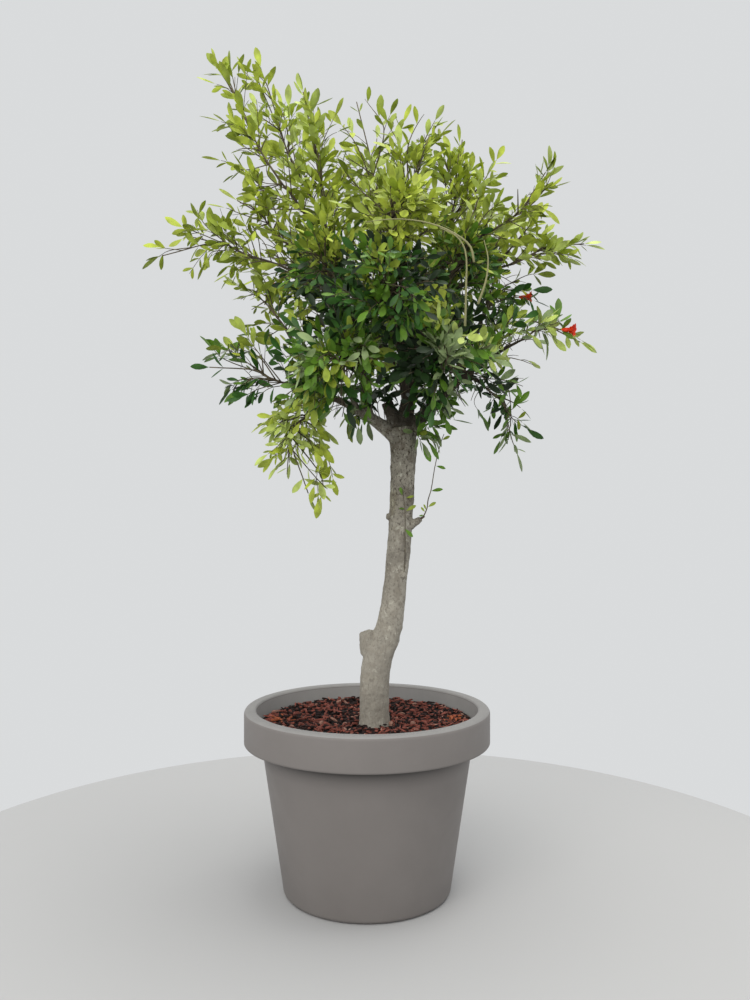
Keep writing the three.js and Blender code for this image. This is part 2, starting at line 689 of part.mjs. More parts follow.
// The sprout on the trunk: its foot, its shoots and their small leaves.
function sproutGeometry() {
  const { at, way, length } = STUBS[SPROUT.stub];
  const out = way.clone().normalize();
  const foot = at.clone().addScaledVector(out, length + GAP);
  const node = foot.clone().addScaledVector(out, SPROUT.foot.length);
  const random = seeded(SPROUT.seed);
  const parts = [tube([foot, node], () => SPROUT.foot.radius, SPROUT.foot.sides)];
  for (const tip of SPROUT.tips) {
    const end = V(...tip);
    const root = node.clone().addScaledVector(out, -SPROUT.root);
    const bend = node.clone().lerp(end, 0.5).addScaledVector(out, SPROUT.bow);
    const curve = new THREE.QuadraticBezierCurve3(root, bend, end);
    parts.push(tube(curve.getPoints(SPROUT.steps), () => SPROUT.radius, 3));
    const leaves = Math.round(curve.getLength() / SPROUT.leafSpacing);
    for (let n = 1; n <= leaves; n++) {
      const place = curve.getPoint(n / leaves);
      const leafWay = curve.getTangent(n / leaves);
      const outward = squareTo(leafWay, n * RULE.shoot.turn + random());
      if (n < leaves) leafWay.addScaledVector(outward, SPROUT.leafLean).normalize();
      const leaf = leafGeometry(place, leafWay, facing(place, random), SPROUT.leaf);
      const leafTip = place.clone().addScaledVector(leafWay, SPROUT.leaf);
      if (!touchesLimb(leafTip, SPROUT.clear)) parts.push(leaf);
    }
  }
  return geometryFrom(joined(parts));
}

// ---------------------------------------------------------------- the whole

const ROUGHNESS = { pot: 0.75, soil: 1, mulch: 0.95, bark: 0.95, leaf: 0.5 };

function named(name, geometry, color, roughness, flatShading = true) {
  const material = new THREE.MeshStandardMaterial({ color, roughness, metalness: 0, flatShading });
  const mesh = new THREE.Mesh(geometry, material);
  mesh.name = name;
  return mesh;
}

function planter() {
  const group = new THREE.Group();
  const standing = trunkSolid(GAP).translate([TREE_FOOT.x, TREE_FOOT.y, TREE_FOOT.z - GAP]);
  group.add(named("pot", lathe(potProfile(), POT.segments), COLOURS.pot, ROUGHNESS.pot, false));
  group.add(named("soil", lathe(soilProfile(), POT.segments), COLOURS.soil, ROUGHNESS.soil));
  group.add(named("mulch", mulchGeometry(standing), COLOURS.mulch, ROUGHNESS.mulch));
  return group;
}

// The trunk, then each bough cut clear of the limbs before it.
function limbsGroup() {
  const group = new THREE.Group();
  group.add(named("trunk", geometryFrom(trunkSolid()), COLOURS.bark, ROUGHNESS.bark));
  const taken = [trunkSolid(GAP)];
  for (const [name, limb] of Object.entries(limbs)) {
    const cut = taken.reduce((rest, other) => rest.subtract(other), boughSolid(limb));
    group.add(named(`bough_${name}`, geometryFrom(cut), COLOURS.bark, ROUGHNESS.bark));
    taken.push(boughSolid(limb, GAP));
  }
  return group;
}

function foliage() {
  const group = new THREE.Group();
  MASSES.forEach((m, i) => {
    group.add(named(`mass_${m.name}`, massGeometry(m, i + 1), COLOURS[m.leaf], ROUGHNESS.leaf));
  });
  group.add(named("trunk_sprout", sproutGeometry(), COLOURS.sprout, ROUGHNESS.leaf));
  return group;
}

function tree() {
  const group = new THREE.Group();
  group.position.copy(TREE_FOOT);
  group.add(limbsGroup(), foliage());
  return group;
}

const pomegranateTree = new THREE.Group();
pomegranateTree.add(planter(), tree());
export default pomegranateTree;
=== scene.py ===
"""The looks of a pomegranate tree in a round planter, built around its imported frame.

The tree grows by the rule of the part's source, in millimetres from the trunk's foot, and goes on
from there to finer twigs and leaves. Every mesh is made in metres, in the frame's own axes.
"""

import math

import bpy
import numpy as np
from mathutils import Euler, Matrix, Vector, noise


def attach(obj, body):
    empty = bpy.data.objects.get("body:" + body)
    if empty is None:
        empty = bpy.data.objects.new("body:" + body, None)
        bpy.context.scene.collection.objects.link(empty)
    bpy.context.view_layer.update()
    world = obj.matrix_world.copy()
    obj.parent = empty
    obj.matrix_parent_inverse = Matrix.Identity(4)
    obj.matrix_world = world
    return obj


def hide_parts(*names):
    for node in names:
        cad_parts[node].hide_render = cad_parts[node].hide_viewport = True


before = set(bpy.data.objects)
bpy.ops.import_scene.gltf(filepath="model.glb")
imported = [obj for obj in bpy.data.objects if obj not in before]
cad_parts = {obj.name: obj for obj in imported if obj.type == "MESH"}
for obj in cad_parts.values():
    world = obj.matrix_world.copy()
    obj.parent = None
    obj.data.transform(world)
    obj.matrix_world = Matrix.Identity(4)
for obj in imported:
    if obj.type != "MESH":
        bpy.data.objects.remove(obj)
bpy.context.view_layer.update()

MM = 0.001
UP = Vector((0, 0, 1))
ASIDE = Vector((1, 0, 0))
UNDERSIDE = Vector((0, 0, 0))  # the centre of the planter's underside
TURN = 2 * math.pi
ROOT = "root"

# --- sizes from the part's source

SOIL_TOP = 325
GAP = 0.3
TREE_FOOT = Vector((14, -5, SOIL_TOP + GAP))
MULCH_TOP = SOIL_TOP + 18
POT = {
    "height": 372, "rim_radius": 250, "rim_drop": 68, "lip": 25, "neck_radius": 215,
    "base_radius": 171, "wall": 6, "base_round": 10, "rim_round": 9, "under_round": 2.5,
    "inner_round": 5.4, "taper": 0.14,
}

# Places on the trunk's line and its radius at each.
TRUNK = [
    ((0, 0, 0), 35),
    ((0, 0, 22), 30.5),
    ((0, -3, 85), 29.5),
    ((7, -2, 146), 29.5),
    ((31, 5, 211), 26.5),
    ((43, 11, 288), 23.5),
    ((54, 12, 403), 24),
    ((60, 8, 525), 24.5),
    ((61, 5, 575), 27),
    ((58, 5, 618), 29),
]
TRUNK_STEPS = 16
FLUTES = {"count": 3, "depth": 0.045, "turns": 0.6}
# Stubs and knots: foot, direction, length, radii at the foot and the tip.
STUBS = [
    ((-5, 0, 158), (-0.28, -0.1, 1), 44, (23, 14)),
    ((58, 8, 405), (0.8, -0.25, 0.55), 47, (11, 6)),
    ((55, 10, 432), (-1, 0.1, 0.1), 30, (9, 5.5)),
    ((46, 9, 314), (0.6, -0.8, 0.1), 28, (9, 5.5)),
    ((52, 4, 606), (-0.42, -0.12, 1), 68, (15, 12)),
]
MAIN = {"foot": 16, "tip": 6, "steps": 5}
LESSER = {"foot": 7.5, "tip": 4, "steps": 4}
COLLAR = {"swell": 0.28, "fade": 6}
BOUGH_RISE = 0.16
BOUGH_BEND = 0.45
FOOT_SHARE = 0.8
STEM = {"entry": 0.72, "follow": 0.2, "overlap": 4, "leaf": 0.8, "steps": 12}
WALL_MARGIN = 0.4
NUMBERS = {"stride": 7919, "offset": 12345, "factor": 48271, "range": 2147483647}

# The source's rule for side shoots: how many, which way, how long, and where they leave the stem.
SHOOT = {
    "spacing": 17, "turn": 2.4, "loose": 7, "forward": 0.85, "spread": 1.35, "arch": 0.3,
    "shortest": 23, "leaf": 0.75, "steps": 6,
}
SHOOT_FOOT = {"middle": 0.38, "lean": 0.3, "step": 0.02, "first": 0.12, "last": 0.8}
GOLDEN = 0.618

# Name, what the bough hangs on and where, centre, furthest tip, half width, kind of leaf, and how
# full of finer shoots the mass is: the core is dense, and sky shows through the edges.
MASSES = [
    ("left_low", 585, None, (-232, -55, 725), (-365, -55, 735), 72, "bright", 0.15),
    ("left_mid", "left_low", 0.75, (-231, 90, 905), (-329, 110, 944), 72, "lime", 0.28),
    ("left_droop", "left_low", 0.6, (-167, -70, 606), (-119, -60, 445), 80, "light", 0.55),
    ("front_left", "left_low", 0.42, (-66, -190, 733), (-81, -330, 698), 134, "bright", 1),
    ("top_left", "left_low", 0.3, (-113, -20, 1132), (-148, -45, 1322), 76, "lime", 0.32),
    ("core_left", "top_left", 0.4, (-96, -110, 927), (-140, -190, 950), 122, "green", 0.7),
    ("left_reach", "top_left", 0.5, (-312, 35, 1006), (-479, 35, 968), 70, "lime", 0.3),
    ("left_fill", "top_left", 0.45, (-226, -20, 1043), (-308, -40, 1089), 84, "lime", 0.3),
    ("spire_left", "top_left", 0.62, (-237, -60, 1185), (-317, -60, 1367), 70, "lime", 0.25),
    ("spire_inner", "top_left", 0.76, (-193, 90, 1235), (-265, 90, 1406), 74, "lime", 0.4),
    ("top_right", 606, None, (173, 60, 1118), (191, 70, 1269), 86, "lime", 0.45),
    ("core_right", "top_right", 0.4, (164, -90, 944), (202, -160, 981), 118, "deep", 1),
    ("spire_right", "top_right", 0.77, (293, -60, 1046), (360, -60, 1149), 68, "lime", 0.2),
    ("right_upper", "top_right", 0.55, (356, 70, 1003), (483, 70, 1015), 62, "lime", 0.2),
    ("top_mid", "top_right", 0.18, (-4, 60, 1173), (-46, 60, 1345), 78, "lime", 0.12),
    ("top_centre", "top_mid", 0.7, (75, -60, 1090), (122, -70, 1224), 84, "lime", 0.25),
    ("back_top", "top_mid", 0.5, (-5, 200, 1146), (9, 260, 1340), 130, "lime", 0.6),
    ("front_mid", "top_right", 0.12, (25, -240, 844), (23, -395, 825), 120, "green", 1),
    ("front_top", "front_mid", 0.6, (33, -180, 996), (32, -240, 1067), 130, "lime", 0.9),
    ("back_low", "top_right", 0.1, (25, 245, 849), (27, 415, 897), 130, "deep", 0.9),
    ("back_left", "back_low", 0.7, (-167, 200, 988), (-274, 290, 1053), 125, "green", 0.7),
    ("back_right", "back_low", 0.62, (207, 215, 1026), (311, 310, 1087), 130, "green", 0.7),
    ("right_lower", 592, None, (328, -65, 814), (442, -65, 765), 54, "sage", 0.15),
    ("right_mid", "right_lower", 0.5, (262, 130, 923), (358, 180, 943), 92, "deep", 0.65),
    ("right_droop", "right_lower", 0.55, (271, 40, 677), (284, 40, 556), 66, "deep", 0.15),
    ("front_right", "right_lower", 0.38, (122, -190, 726), (140, -320, 690), 126, "sage", 0.9),
]

# --- how this script carries the rule further

FINEST = 2.4  # radius of a bough's tip
STEM_TWIG = {"tip": 1.1, "taper": 0.7, "sides": 7, "dressed": 0.55}
SHOOT_TWIG = {"foot": 1.7, "tip": 0.7, "dressed": 0.72}
# Shoots for each of the source's: they part from the bough's last stretch too, and lean forward.
FINER = {"count": 4.5, "forward": 0.97, "spread": 0.95, "first": -0.3, "last": 0.85, "open": 1.2}
# The next finer twigs. A value in brackets is the least and how far it ranges above that.
TWIG = {
    "spacing": 27, "angle": 0.75, "longest": 95, "shortest": 24, "arch": 0.16, "share": 0.85,
    "first": 0.14, "span": 0.8, "loose": 0.5, "turn": 0.9, "taper": 0.55, "length": (0.45, 0.35),
    "shrink": 0.8, "steps": 3, "sides": 3, "radii": (0.9, 0.5), "dressed": 0.86, "leaf": 0.92,
}
BOUGH_TWIG = {
    "spacing": 22, "length": 78, "range": (0.6, 0.7), "bare_main": 0.4, "bare": 0.25, "lowest": 650,
    "seed": 60, "forward": 0.7, "up": 0.25, "course": 12, "turns": 6, "steps": 4, "radii": (1.3, 0.6),
    "dressed": 0.85, "leaf": 0.95, "open": 1.2,
}
LEADER = {
    "seed": 9, "steps": 4, "tip_leaf": 0.8, "leaf_spacing": 27, "open": 2.8, "twig": 34, "thin": 0.7,
    "thick": 1.6, "thicker_by": 180, "tip": 0.5, "dressed": 0.92,
}
# Leaves stand in pairs, each pair turned from the last, and are smaller towards a twig's tip.
LEAF = {
    "length": 48, "spacing": 23, "angle": 0.8, "angle_loose": 0.35, "turn_loose": 0.5,
    "size": (0.6, 0.48), "tip_size": (0.7, 0.3), "own_size": (0.9, 0.2), "first": 0.6,
    "near_tip": 0.72, "growth": 0.14,
}
SHADE_LEAF = {"kinds": ("deep", "green"), "size": 0.84}  # inside the crown
FACING = {"out": 0.8, "up": 0.4, "loose": 1.7, "centre": 900}
SLACK = 14  # how far a leaf may pass the wall to a neighbouring mass
SPACE_SLACK = 0.3  # the share of that by which it may pass the mass's own space

FLOWERS = [
    ("right_lower", (377, -95, 799)),
    ("right_mid", (325, 100, 905)),
    ("back_left", (-232, 300, 975)),
]
FLOWER_STALK = {"foot": 0.4, "radii": (1.8, 1.1), "dressed": 0.5, "leaf": 0.9, "steps": 3, "seed": 40}
# From a flower's foot: how far along, radius, and for the tube how far its lobes point.
FLOWER_TUBE = [(0, 2.4, 0), (6, 4.6, 0), (13, 5.2, 0), (17, 4.9, 0), (24, 8.5, 3.2)]
FLOWER_PETALS = [(18, 2.5), (24, 8), (29, 13), (31, 17)]
FLOWER = {
    "size": 0.82, "sides": 24, "lobes": 6, "middle": 13, "crumple": 2.6, "grain": 0.9, "layer": 2.0,
    "frill": 0.16, "frill_turn": 1.2,
}

# --- what the photograph shows, in pixels of its 750 by 1000

CAMERA = Vector((16, -1905, 794))  # level, in millimetres from the centre of the planter's underside
FOCAL = 930
MIDDLE = (375, 500)

# Where the photograph shows more sky than the growth rule would: the middle and the radius of each
# such place, and the share of the leaves there that is left out.
OPENINGS = [
    (232, 78, 12, 0.8), (265, 70, 8, 0.5), (204, 125, 8, 0.5), (283, 138, 8, 0.6), (222, 112, 10, 0.5),
    (257, 50, 10, 0.8), (312, 90, 9, 0.6), (332, 131, 12, 0.7), (245, 155, 9, 0.5), (355, 92, 7, 0.5),
    (345, 165, 14, 0.5), (396, 132, 9, 0.6), (366, 110, 12, 0.7), (372, 132, 15, 0.5),
    (430, 106, 11, 0.7), (422, 128, 11, 0.8), (471, 140, 13, 0.8), (521, 184, 16, 0.8),
    (502, 192, 10, 0.6), (551, 202, 8, 0.7), (530, 392, 10, 0.7), (286, 458, 9, 0.6), (174, 219, 9, 0.7),
    (192, 194, 7, 0.6), (160, 248, 9, 0.5), (196, 260, 8, 0.4), (240, 234, 9, 0.4), (280, 358, 12, 0.5),
    (282, 385, 11, 0.6), (205, 342, 9, 0.5), (225, 362, 9, 0.5), (150, 244, 8, 0.5), (487, 227, 10, 0.6),
    (228, 200, 16, 0.7), (180, 255, 12, 0.7), (262, 242, 12, 0.7), (276, 264, 16, 0.7),
    (246, 311, 11, 0.7), (272, 406, 10, 0.7), (232, 370, 14, 0.6), (337, 410, 12, 0.9),
    (247, 368, 11, 0.9), (340, 460, 10, 0.7), (290, 466, 10, 0.6), (325, 486, 14, 0.6),
    (520, 282, 18, 0.7), (503, 285, 9, 0.6), (550, 300, 9, 0.5), (522, 352, 14, 0.8), (518, 344, 12, 0.7),
    (256, 352, 12, 0.5), (485, 362, 8, 0.5), (385, 348, 11, 0.4), (507, 456, 8, 0.6), (530, 375, 14, 0.6),
    (467, 403, 12, 0.9), (515, 410, 14, 0.5), (405, 388, 10, 0.95), (380, 416, 9, 0.9),
]

# Patches of their own colour near the front: the middle, the radius and the kind of leaf. Those of the kind
# shade are dark leaves as painted shade, where the crown lies in deep shadow.
PATCHES = [
    (386, 400, 24, "shade"), (416, 366, 32, "shade"), (424, 402, 22, "green"), (466, 376, 22, "shade"),
    (330, 302, 32, "shade"), (302, 372, 26, "leafy"), (284, 340, 22, "leafy"), (440, 440, 24, "leafy"),
    (514, 440, 26, "leafy"), (438, 308, 12, "lime"), (446, 342, 19, "pale"), (484, 344, 22, "pale"),
    (518, 306, 16, "middle"), (556, 326, 26, "pale"), (590, 348, 14, "pale"), (547, 284, 14, "sage"),
    (376, 268, 16, "middle"), (350, 404, 14, "shade"), (245, 345, 16, "middle"), (262, 325, 12, "middle"),
]
PATCH_DEPTH = 60  # how far back from the trunk's foot a patch reaches

# Shoots that stand out against the sky. For each mass, with a kind of leaf where it isn't the
# mass's own: the depth from the trunk's foot, where the shoot leaves the mass's stem (or below 0,
# its bough), and across, down, across, down on its way to the tip.
LEADERS = [
    ("spire_left", None, [
        (-60, 0.3, 250, 130, 238, 102, 224, 76, 208, 56), (-60, 0.45, 236, 126, 222, 122, 209, 114),
        (-50, 0.2, 243, 170, 224, 161, 204, 160), (-50, 0.15, 256, 150, 248, 138, 240, 128),
    ]),
    ("spire_inner", None, [
        (60, -0.2, 296, 200, 298, 180, 294, 160), (60, 0.0, 296, 160, 300, 140, 296, 120),
    ]),
    ("top_left", None, [
        (-50, -0.2, 318, 210, 314, 196, 310, 184), (0, -0.15, 326, 206, 332, 194, 336, 182),
        (-40, -0.2, 334, 216, 338, 204, 334, 192), (-30, 0.1, 322, 166, 328, 156, 330, 146),
        (-30, 0.3, 316, 140, 320, 128, 318, 116),
    ]),
    ("spire_left", None, [
        (-40, 0.6, 236, 92, 232, 74, 229, 58), (-50, 0.7, 228, 84, 219, 70, 214, 56),
        (-50, 0.0, 260, 190, 246, 172, 234, 158),
    ]),
    ("spire_inner", None, [
        (80, 0.3, 284, 116, 262, 90, 248, 76, 240, 62), (90, 0.6, 268, 88, 262, 72, 259, 60),
        (60, 0.1, 290, 130, 289, 112, 288, 96), (70, 0.0, 280, 130, 282, 114, 280, 100),
    ]),
    ("spire_left", None, [
        (-60, -0.2, 262, 190, 256, 178, 252, 166), (-40, 0.0, 258, 186, 246, 176, 236, 166),
        (-60, 0.0, 262, 182, 254, 168, 248, 150), (-60, -0.3, 262, 206, 256, 192, 250, 180),
        (-40, -0.1, 268, 176, 266, 160, 262, 146), (-60, 0.25, 244, 146, 238, 138, 231, 128),
    ]),
    ("left_reach", None, [
        (30, 0.0, 250, 254, 238, 262, 226, 264), (40, 0.4, 196, 232, 184, 228, 176, 222),
    ]),
    ("top_left", None, [
        (-30, 0.4, 318, 150, 312, 122, 304, 96, 299, 82), (-30, 0.7, 311, 116, 315, 100, 315, 86),
        (-10, 0.3, 322, 146, 330, 126, 341, 105), (-40, -0.1, 312, 200, 304, 188, 296, 176),
    ]),
    ("top_mid", None, [
        (50, 0.2, 357, 146, 346, 130, 336, 119), (60, 0.5, 384, 128, 370, 106, 358, 90),
        (60, 0.1, 344, 170, 338, 158, 335, 148),
    ]),
    ("top_centre", None, [
        (-60, 0.4, 408, 146, 420, 120, 431, 106), (-50, 0.4, 428, 150, 438, 138, 446, 128),
        (-60, 0.2, 420, 165, 424, 155, 428, 146), (-60, -0.2, 430, 210, 438, 200, 444, 190),
        (-60, -0.1, 436, 206, 446, 198, 450, 186),
    ]),
    ("top_mid", None, [(60, 0.4, 372, 154, 380, 146, 386, 136)]),
    ("top_centre", None, [(-60, 0.3, 400, 158, 400, 148, 398, 138)]),
    ("top_right", None, [(40, 0.3, 462, 180, 470, 172, 478, 164)]),
    ("top_centre", None, [
        (-50, 0.5, 424, 146, 430, 138, 434, 128), (-50, 0.3, 398, 142, 390, 128, 384, 114),
    ]),
    ("top_right", None, [
        (30, 0.1, 444, 176, 436, 162, 428, 148), (70, 0.15, 468, 190, 470, 176, 472, 162),
        (60, 0.5, 456, 166, 458, 152, 460, 142), (40, 0.1, 468, 200, 476, 192, 484, 186),
        (40, 0.2, 480, 186, 493, 166, 502, 150),
    ]),
    ("core_right", None, [
        (-60, 0.5, 486, 214, 498, 204, 508, 196), (-60, 0.5, 478, 200, 484, 186, 488, 172),
    ]),
    ("spire_right", None, [
        (-60, 0.2, 530, 206, 544, 190, 552, 172, 554, 156), (-60, 0.3, 538, 196, 548, 188, 560, 184),
        (-60, 0.1, 526, 216, 536, 216, 546, 212), (-60, 0.6, 544, 182, 548, 168, 550, 154),
        (-60, -0.3, 494, 216, 504, 212, 512, 206), (-50, 0.4, 540, 190, 548, 176, 546, 164),
        (-50, -0.2, 492, 214, 498, 206, 504, 200), (-50, 0.3, 535, 205, 545, 210, 552, 216),
    ]),
    ("right_upper", None, [
        (60, -0.3, 522, 236, 530, 224, 536, 212), (80, -0.2, 520, 228, 530, 238, 540, 244),
        (50, -0.4, 506, 228, 514, 216, 522, 204), (70, 0.1, 540, 250, 562, 245, 584, 245, 598, 248),
        (60, 0.3, 556, 254, 572, 258, 586, 266), (60, 0.0, 530, 244, 540, 236, 548, 226),
        (80, -0.2, 516, 240, 522, 250, 528, 260), (60, 0.2, 548, 252, 562, 257, 572, 263),
        (60, -0.2, 524, 232, 534, 222, 542, 210), (80, 0.0, 520, 262, 530, 267, 540, 268),
    ]),
    ("right_mid", None, [(100, 0.4, 520, 290, 532, 290, 544, 288)]),
    ("right_upper", None, [
        (60, -0.3, 500, 234, 502, 224, 500, 214), (60, 0.0, 524, 256, 534, 262, 542, 272),
        (70, 0.3, 560, 250, 574, 244, 586, 240), (70, -0.1, 500, 250, 510, 256, 520, 258),
        (60, 0.3, 552, 252, 566, 254, 578, 250),
    ]),
    ("right_mid", None, [
        (110, 0.6, 525, 276, 536, 274, 546, 276), (60, 0.1, 488, 298, 484, 302, 478, 304),
        (60, -0.1, 482, 300, 486, 308, 492, 316), (60, 0.0, 490, 296, 500, 304, 510, 310),
        (80, 0.5, 520, 296, 532, 300, 542, 302),
    ]),
    ("right_lower", None, [
        (-60, -0.25, 500, 330, 512, 320, 524, 312), (-60, -0.3, 490, 350, 496, 360, 502, 370),
        (-60, -0.35, 484, 352, 492, 366, 498, 380), (-60, -0.2, 506, 326, 516, 312, 528, 304),
    ]),
    ("right_droop", None, [(30, 0.0, 494, 400, 490, 416, 492, 432)]),
    ("right_lower", None, [
        (-70, 0.1, 530, 322, 556, 328, 578, 338, 595, 352), (-60, 0.3, 544, 332, 547, 346, 550, 358),
        (-60, 0.5, 558, 322, 558, 314, 557, 306), (-70, 0.2, 536, 326, 546, 318, 556, 314),
        (-70, 0.2, 534, 330, 544, 336, 552, 340),
    ]),
    ("right_droop", None, [
        (30, 0.0, 506, 385, 511, 410, 509, 434, 506, 450), (30, 0.3, 514, 420, 526, 428, 536, 438),
        (30, 0.6, 512, 440, 516, 450, 519, 462), (20, -0.2, 474, 402, 482, 416, 487, 430),
    ]),
    ("left_reach", None, [
        (35, 0.85, 168, 251, 158, 257, 147, 262), (35, 0.9, 164, 248, 156, 246, 149, 243),
        (20, -0.2, 262, 240, 248, 236, 232, 232), (60, -0.1, 252, 256, 240, 258, 228, 256),
        (40, 0.1, 232, 238, 220, 230, 207, 225), (30, 0.3, 222, 240, 214, 232, 202, 230),
        (40, 0.2, 226, 244, 216, 244, 206, 240), (20, 0.0, 240, 246, 232, 252, 226, 262),
        (10, 0.0, 244, 236, 234, 230, 228, 218), (20, 0.2, 226, 236, 218, 226, 212, 216),
    ]),
    ("left_fill", None, [
        (-30, 0.0, 278, 230, 272, 220, 266, 208), (-20, 0.1, 286, 230, 284, 216, 279, 204),
        (-40, 0.2, 262, 226, 258, 216, 256, 204), (-40, 0.1, 276, 222, 266, 216, 256, 214),
        (-30, -0.1, 290, 226, 288, 212, 282, 196),
    ]),
    ("left_reach", None, [(50, -0.1, 240, 258, 230, 265, 220, 271)]),
    ("left_mid", None, [(90, 0.1, 262, 276, 250, 268, 238, 262)]),
    ("left_low", None, [
        (-60, -0.2, 284, 370, 276, 360, 266, 352), (-70, -0.3, 292, 366, 284, 354, 274, 344),
    ]),
    ("left_mid", None, [(90, -0.3, 262, 300, 246, 290, 230, 280)]),
    ("left_reach", None, [
        (20, -0.1, 256, 232, 246, 226, 236, 222), (50, 0.0, 244, 250, 236, 244, 228, 238),
        (30, 0.3, 206, 226, 198, 212, 196, 198), (30, 0.0, 240, 262, 228, 278, 217, 284),
        (40, 0.2, 212, 252, 206, 262, 200, 271),
    ]),
    ("left_fill", None, [(-30, 0.4, 236, 212, 226, 208, 212, 210)]),
    ("left_mid", None, [
        (90, 0.0, 271, 308, 258, 296, 240, 286), (60, -0.2, 262, 338, 246, 332, 237, 320),
    ]),
    ("left_low", None, [
        (-55, 0.1, 258, 356, 240, 350, 222, 352, 208, 360), (-50, 0.5, 222, 358, 214, 350, 210, 345),
    ]),
    ("left_low", "deep", [
        (-60, 0.2, 250, 380, 238, 390, 228, 396), (-60, 0.0, 262, 384, 254, 392, 244, 402),
        (-40, 0.1, 250, 384, 240, 392, 236, 404), (-50, 0.0, 268, 380, 258, 382, 246, 386, 236, 388),
        (-70, 0.1, 252, 378, 243, 385, 234, 390), (-60, -0.1, 270, 388, 258, 396, 246, 400),
        (-80, 0.0, 256, 390, 244, 396, 230, 398), (-50, 0.1, 240, 380, 232, 388, 225, 396),
    ]),
    ("left_droop", None, [
        (-70, 0.0, 300, 405, 284, 414, 266, 420), (-80, 0.1, 300, 415, 290, 428, 278, 440),
        (-60, -0.1, 306, 410, 306, 424, 300, 438), (-50, 0.3, 312, 424, 322, 432, 328, 442),
        (-80, 0.3, 284, 448, 272, 458, 262, 464), (-60, 0.1, 306, 430, 308, 440, 304, 450),
        (-70, 0.1, 300, 420, 290, 432, 284, 445), (-60, 0.2, 310, 430, 306, 444, 300, 456),
        (-80, 0.1, 312, 424, 318, 436, 316, 450), (-70, 0.3, 300, 440, 288, 448, 276, 452),
        (-80, 0.0, 290, 420, 278, 428, 266, 434), (-70, -0.2, 306, 396, 300, 408, 292, 420),
        (-60, 0.2, 312, 432, 314, 444, 310, 456), (-80, 0.4, 286, 456, 278, 466, 270, 474),
        (-70, 0.1, 294, 424, 284, 430, 274, 426), (-70, 0.8, 318, 480, 326, 488, 330, 496),
    ]),
    ("right_droop", None, [
        (0, 0.0, 490, 388, 497, 380, 504, 370), (-20, 0.0, 484, 384, 492, 378, 502, 380),
        (10, -0.1, 492, 384, 506, 382, 514, 374),
    ]),
    ("right_lower", None, [(-60, 0.4, 548, 334, 556, 342, 562, 352)]),
    ("right_droop", None, [(20, 0.0, 488, 392, 496, 384, 500, 376)]),
    ("left_droop", None, [
        (-80, 0.1, 286, 420, 272, 426, 260, 432), (-90, 0.3, 280, 444, 268, 454, 258, 460),
        (-70, 0.2, 318, 420, 319, 450, 316, 480, 308, 502), (-60, 0.5, 326, 456, 332, 474, 334, 488),
        (-80, 0.1, 282, 412, 268, 420, 258, 428), (-80, 0.2, 290, 436, 276, 454, 264, 468),
        (-70, -0.1, 288, 412, 280, 424, 270, 436), (-70, 0.7, 322, 478, 322, 492, 318, 506),
    ]),
    ("left_low", "middle", [
        (-60, 0.2, 246, 362, 232, 358, 218, 364), (-50, 0.3, 238, 356, 226, 348, 214, 350),
        (-50, 0.0, 258, 352, 248, 338, 241, 324),
    ]),
    ("top_centre", None, [(-40, 0.4, 424, 142, 432, 126, 440, 112)]),
    ("top_right", None, [
        (30, 0.3, 450, 174, 450, 158, 446, 142), (30, 0.4, 458, 160, 460, 146, 458, 134),
    ]),
    ("right_droop", "green", [(20, 0.3, 510, 410, 520, 402, 529, 396)]),
    ("right_droop", "sage", [(-20, -0.1, 490, 386, 502, 378, 512, 368)]),
    ("right_droop", "green", [(-10, 0.0, 496, 390, 508, 384, 518, 377)]),
    ("right_droop", "deep", [(30, 0.5, 511, 424, 506, 434, 503, 444)]),
]

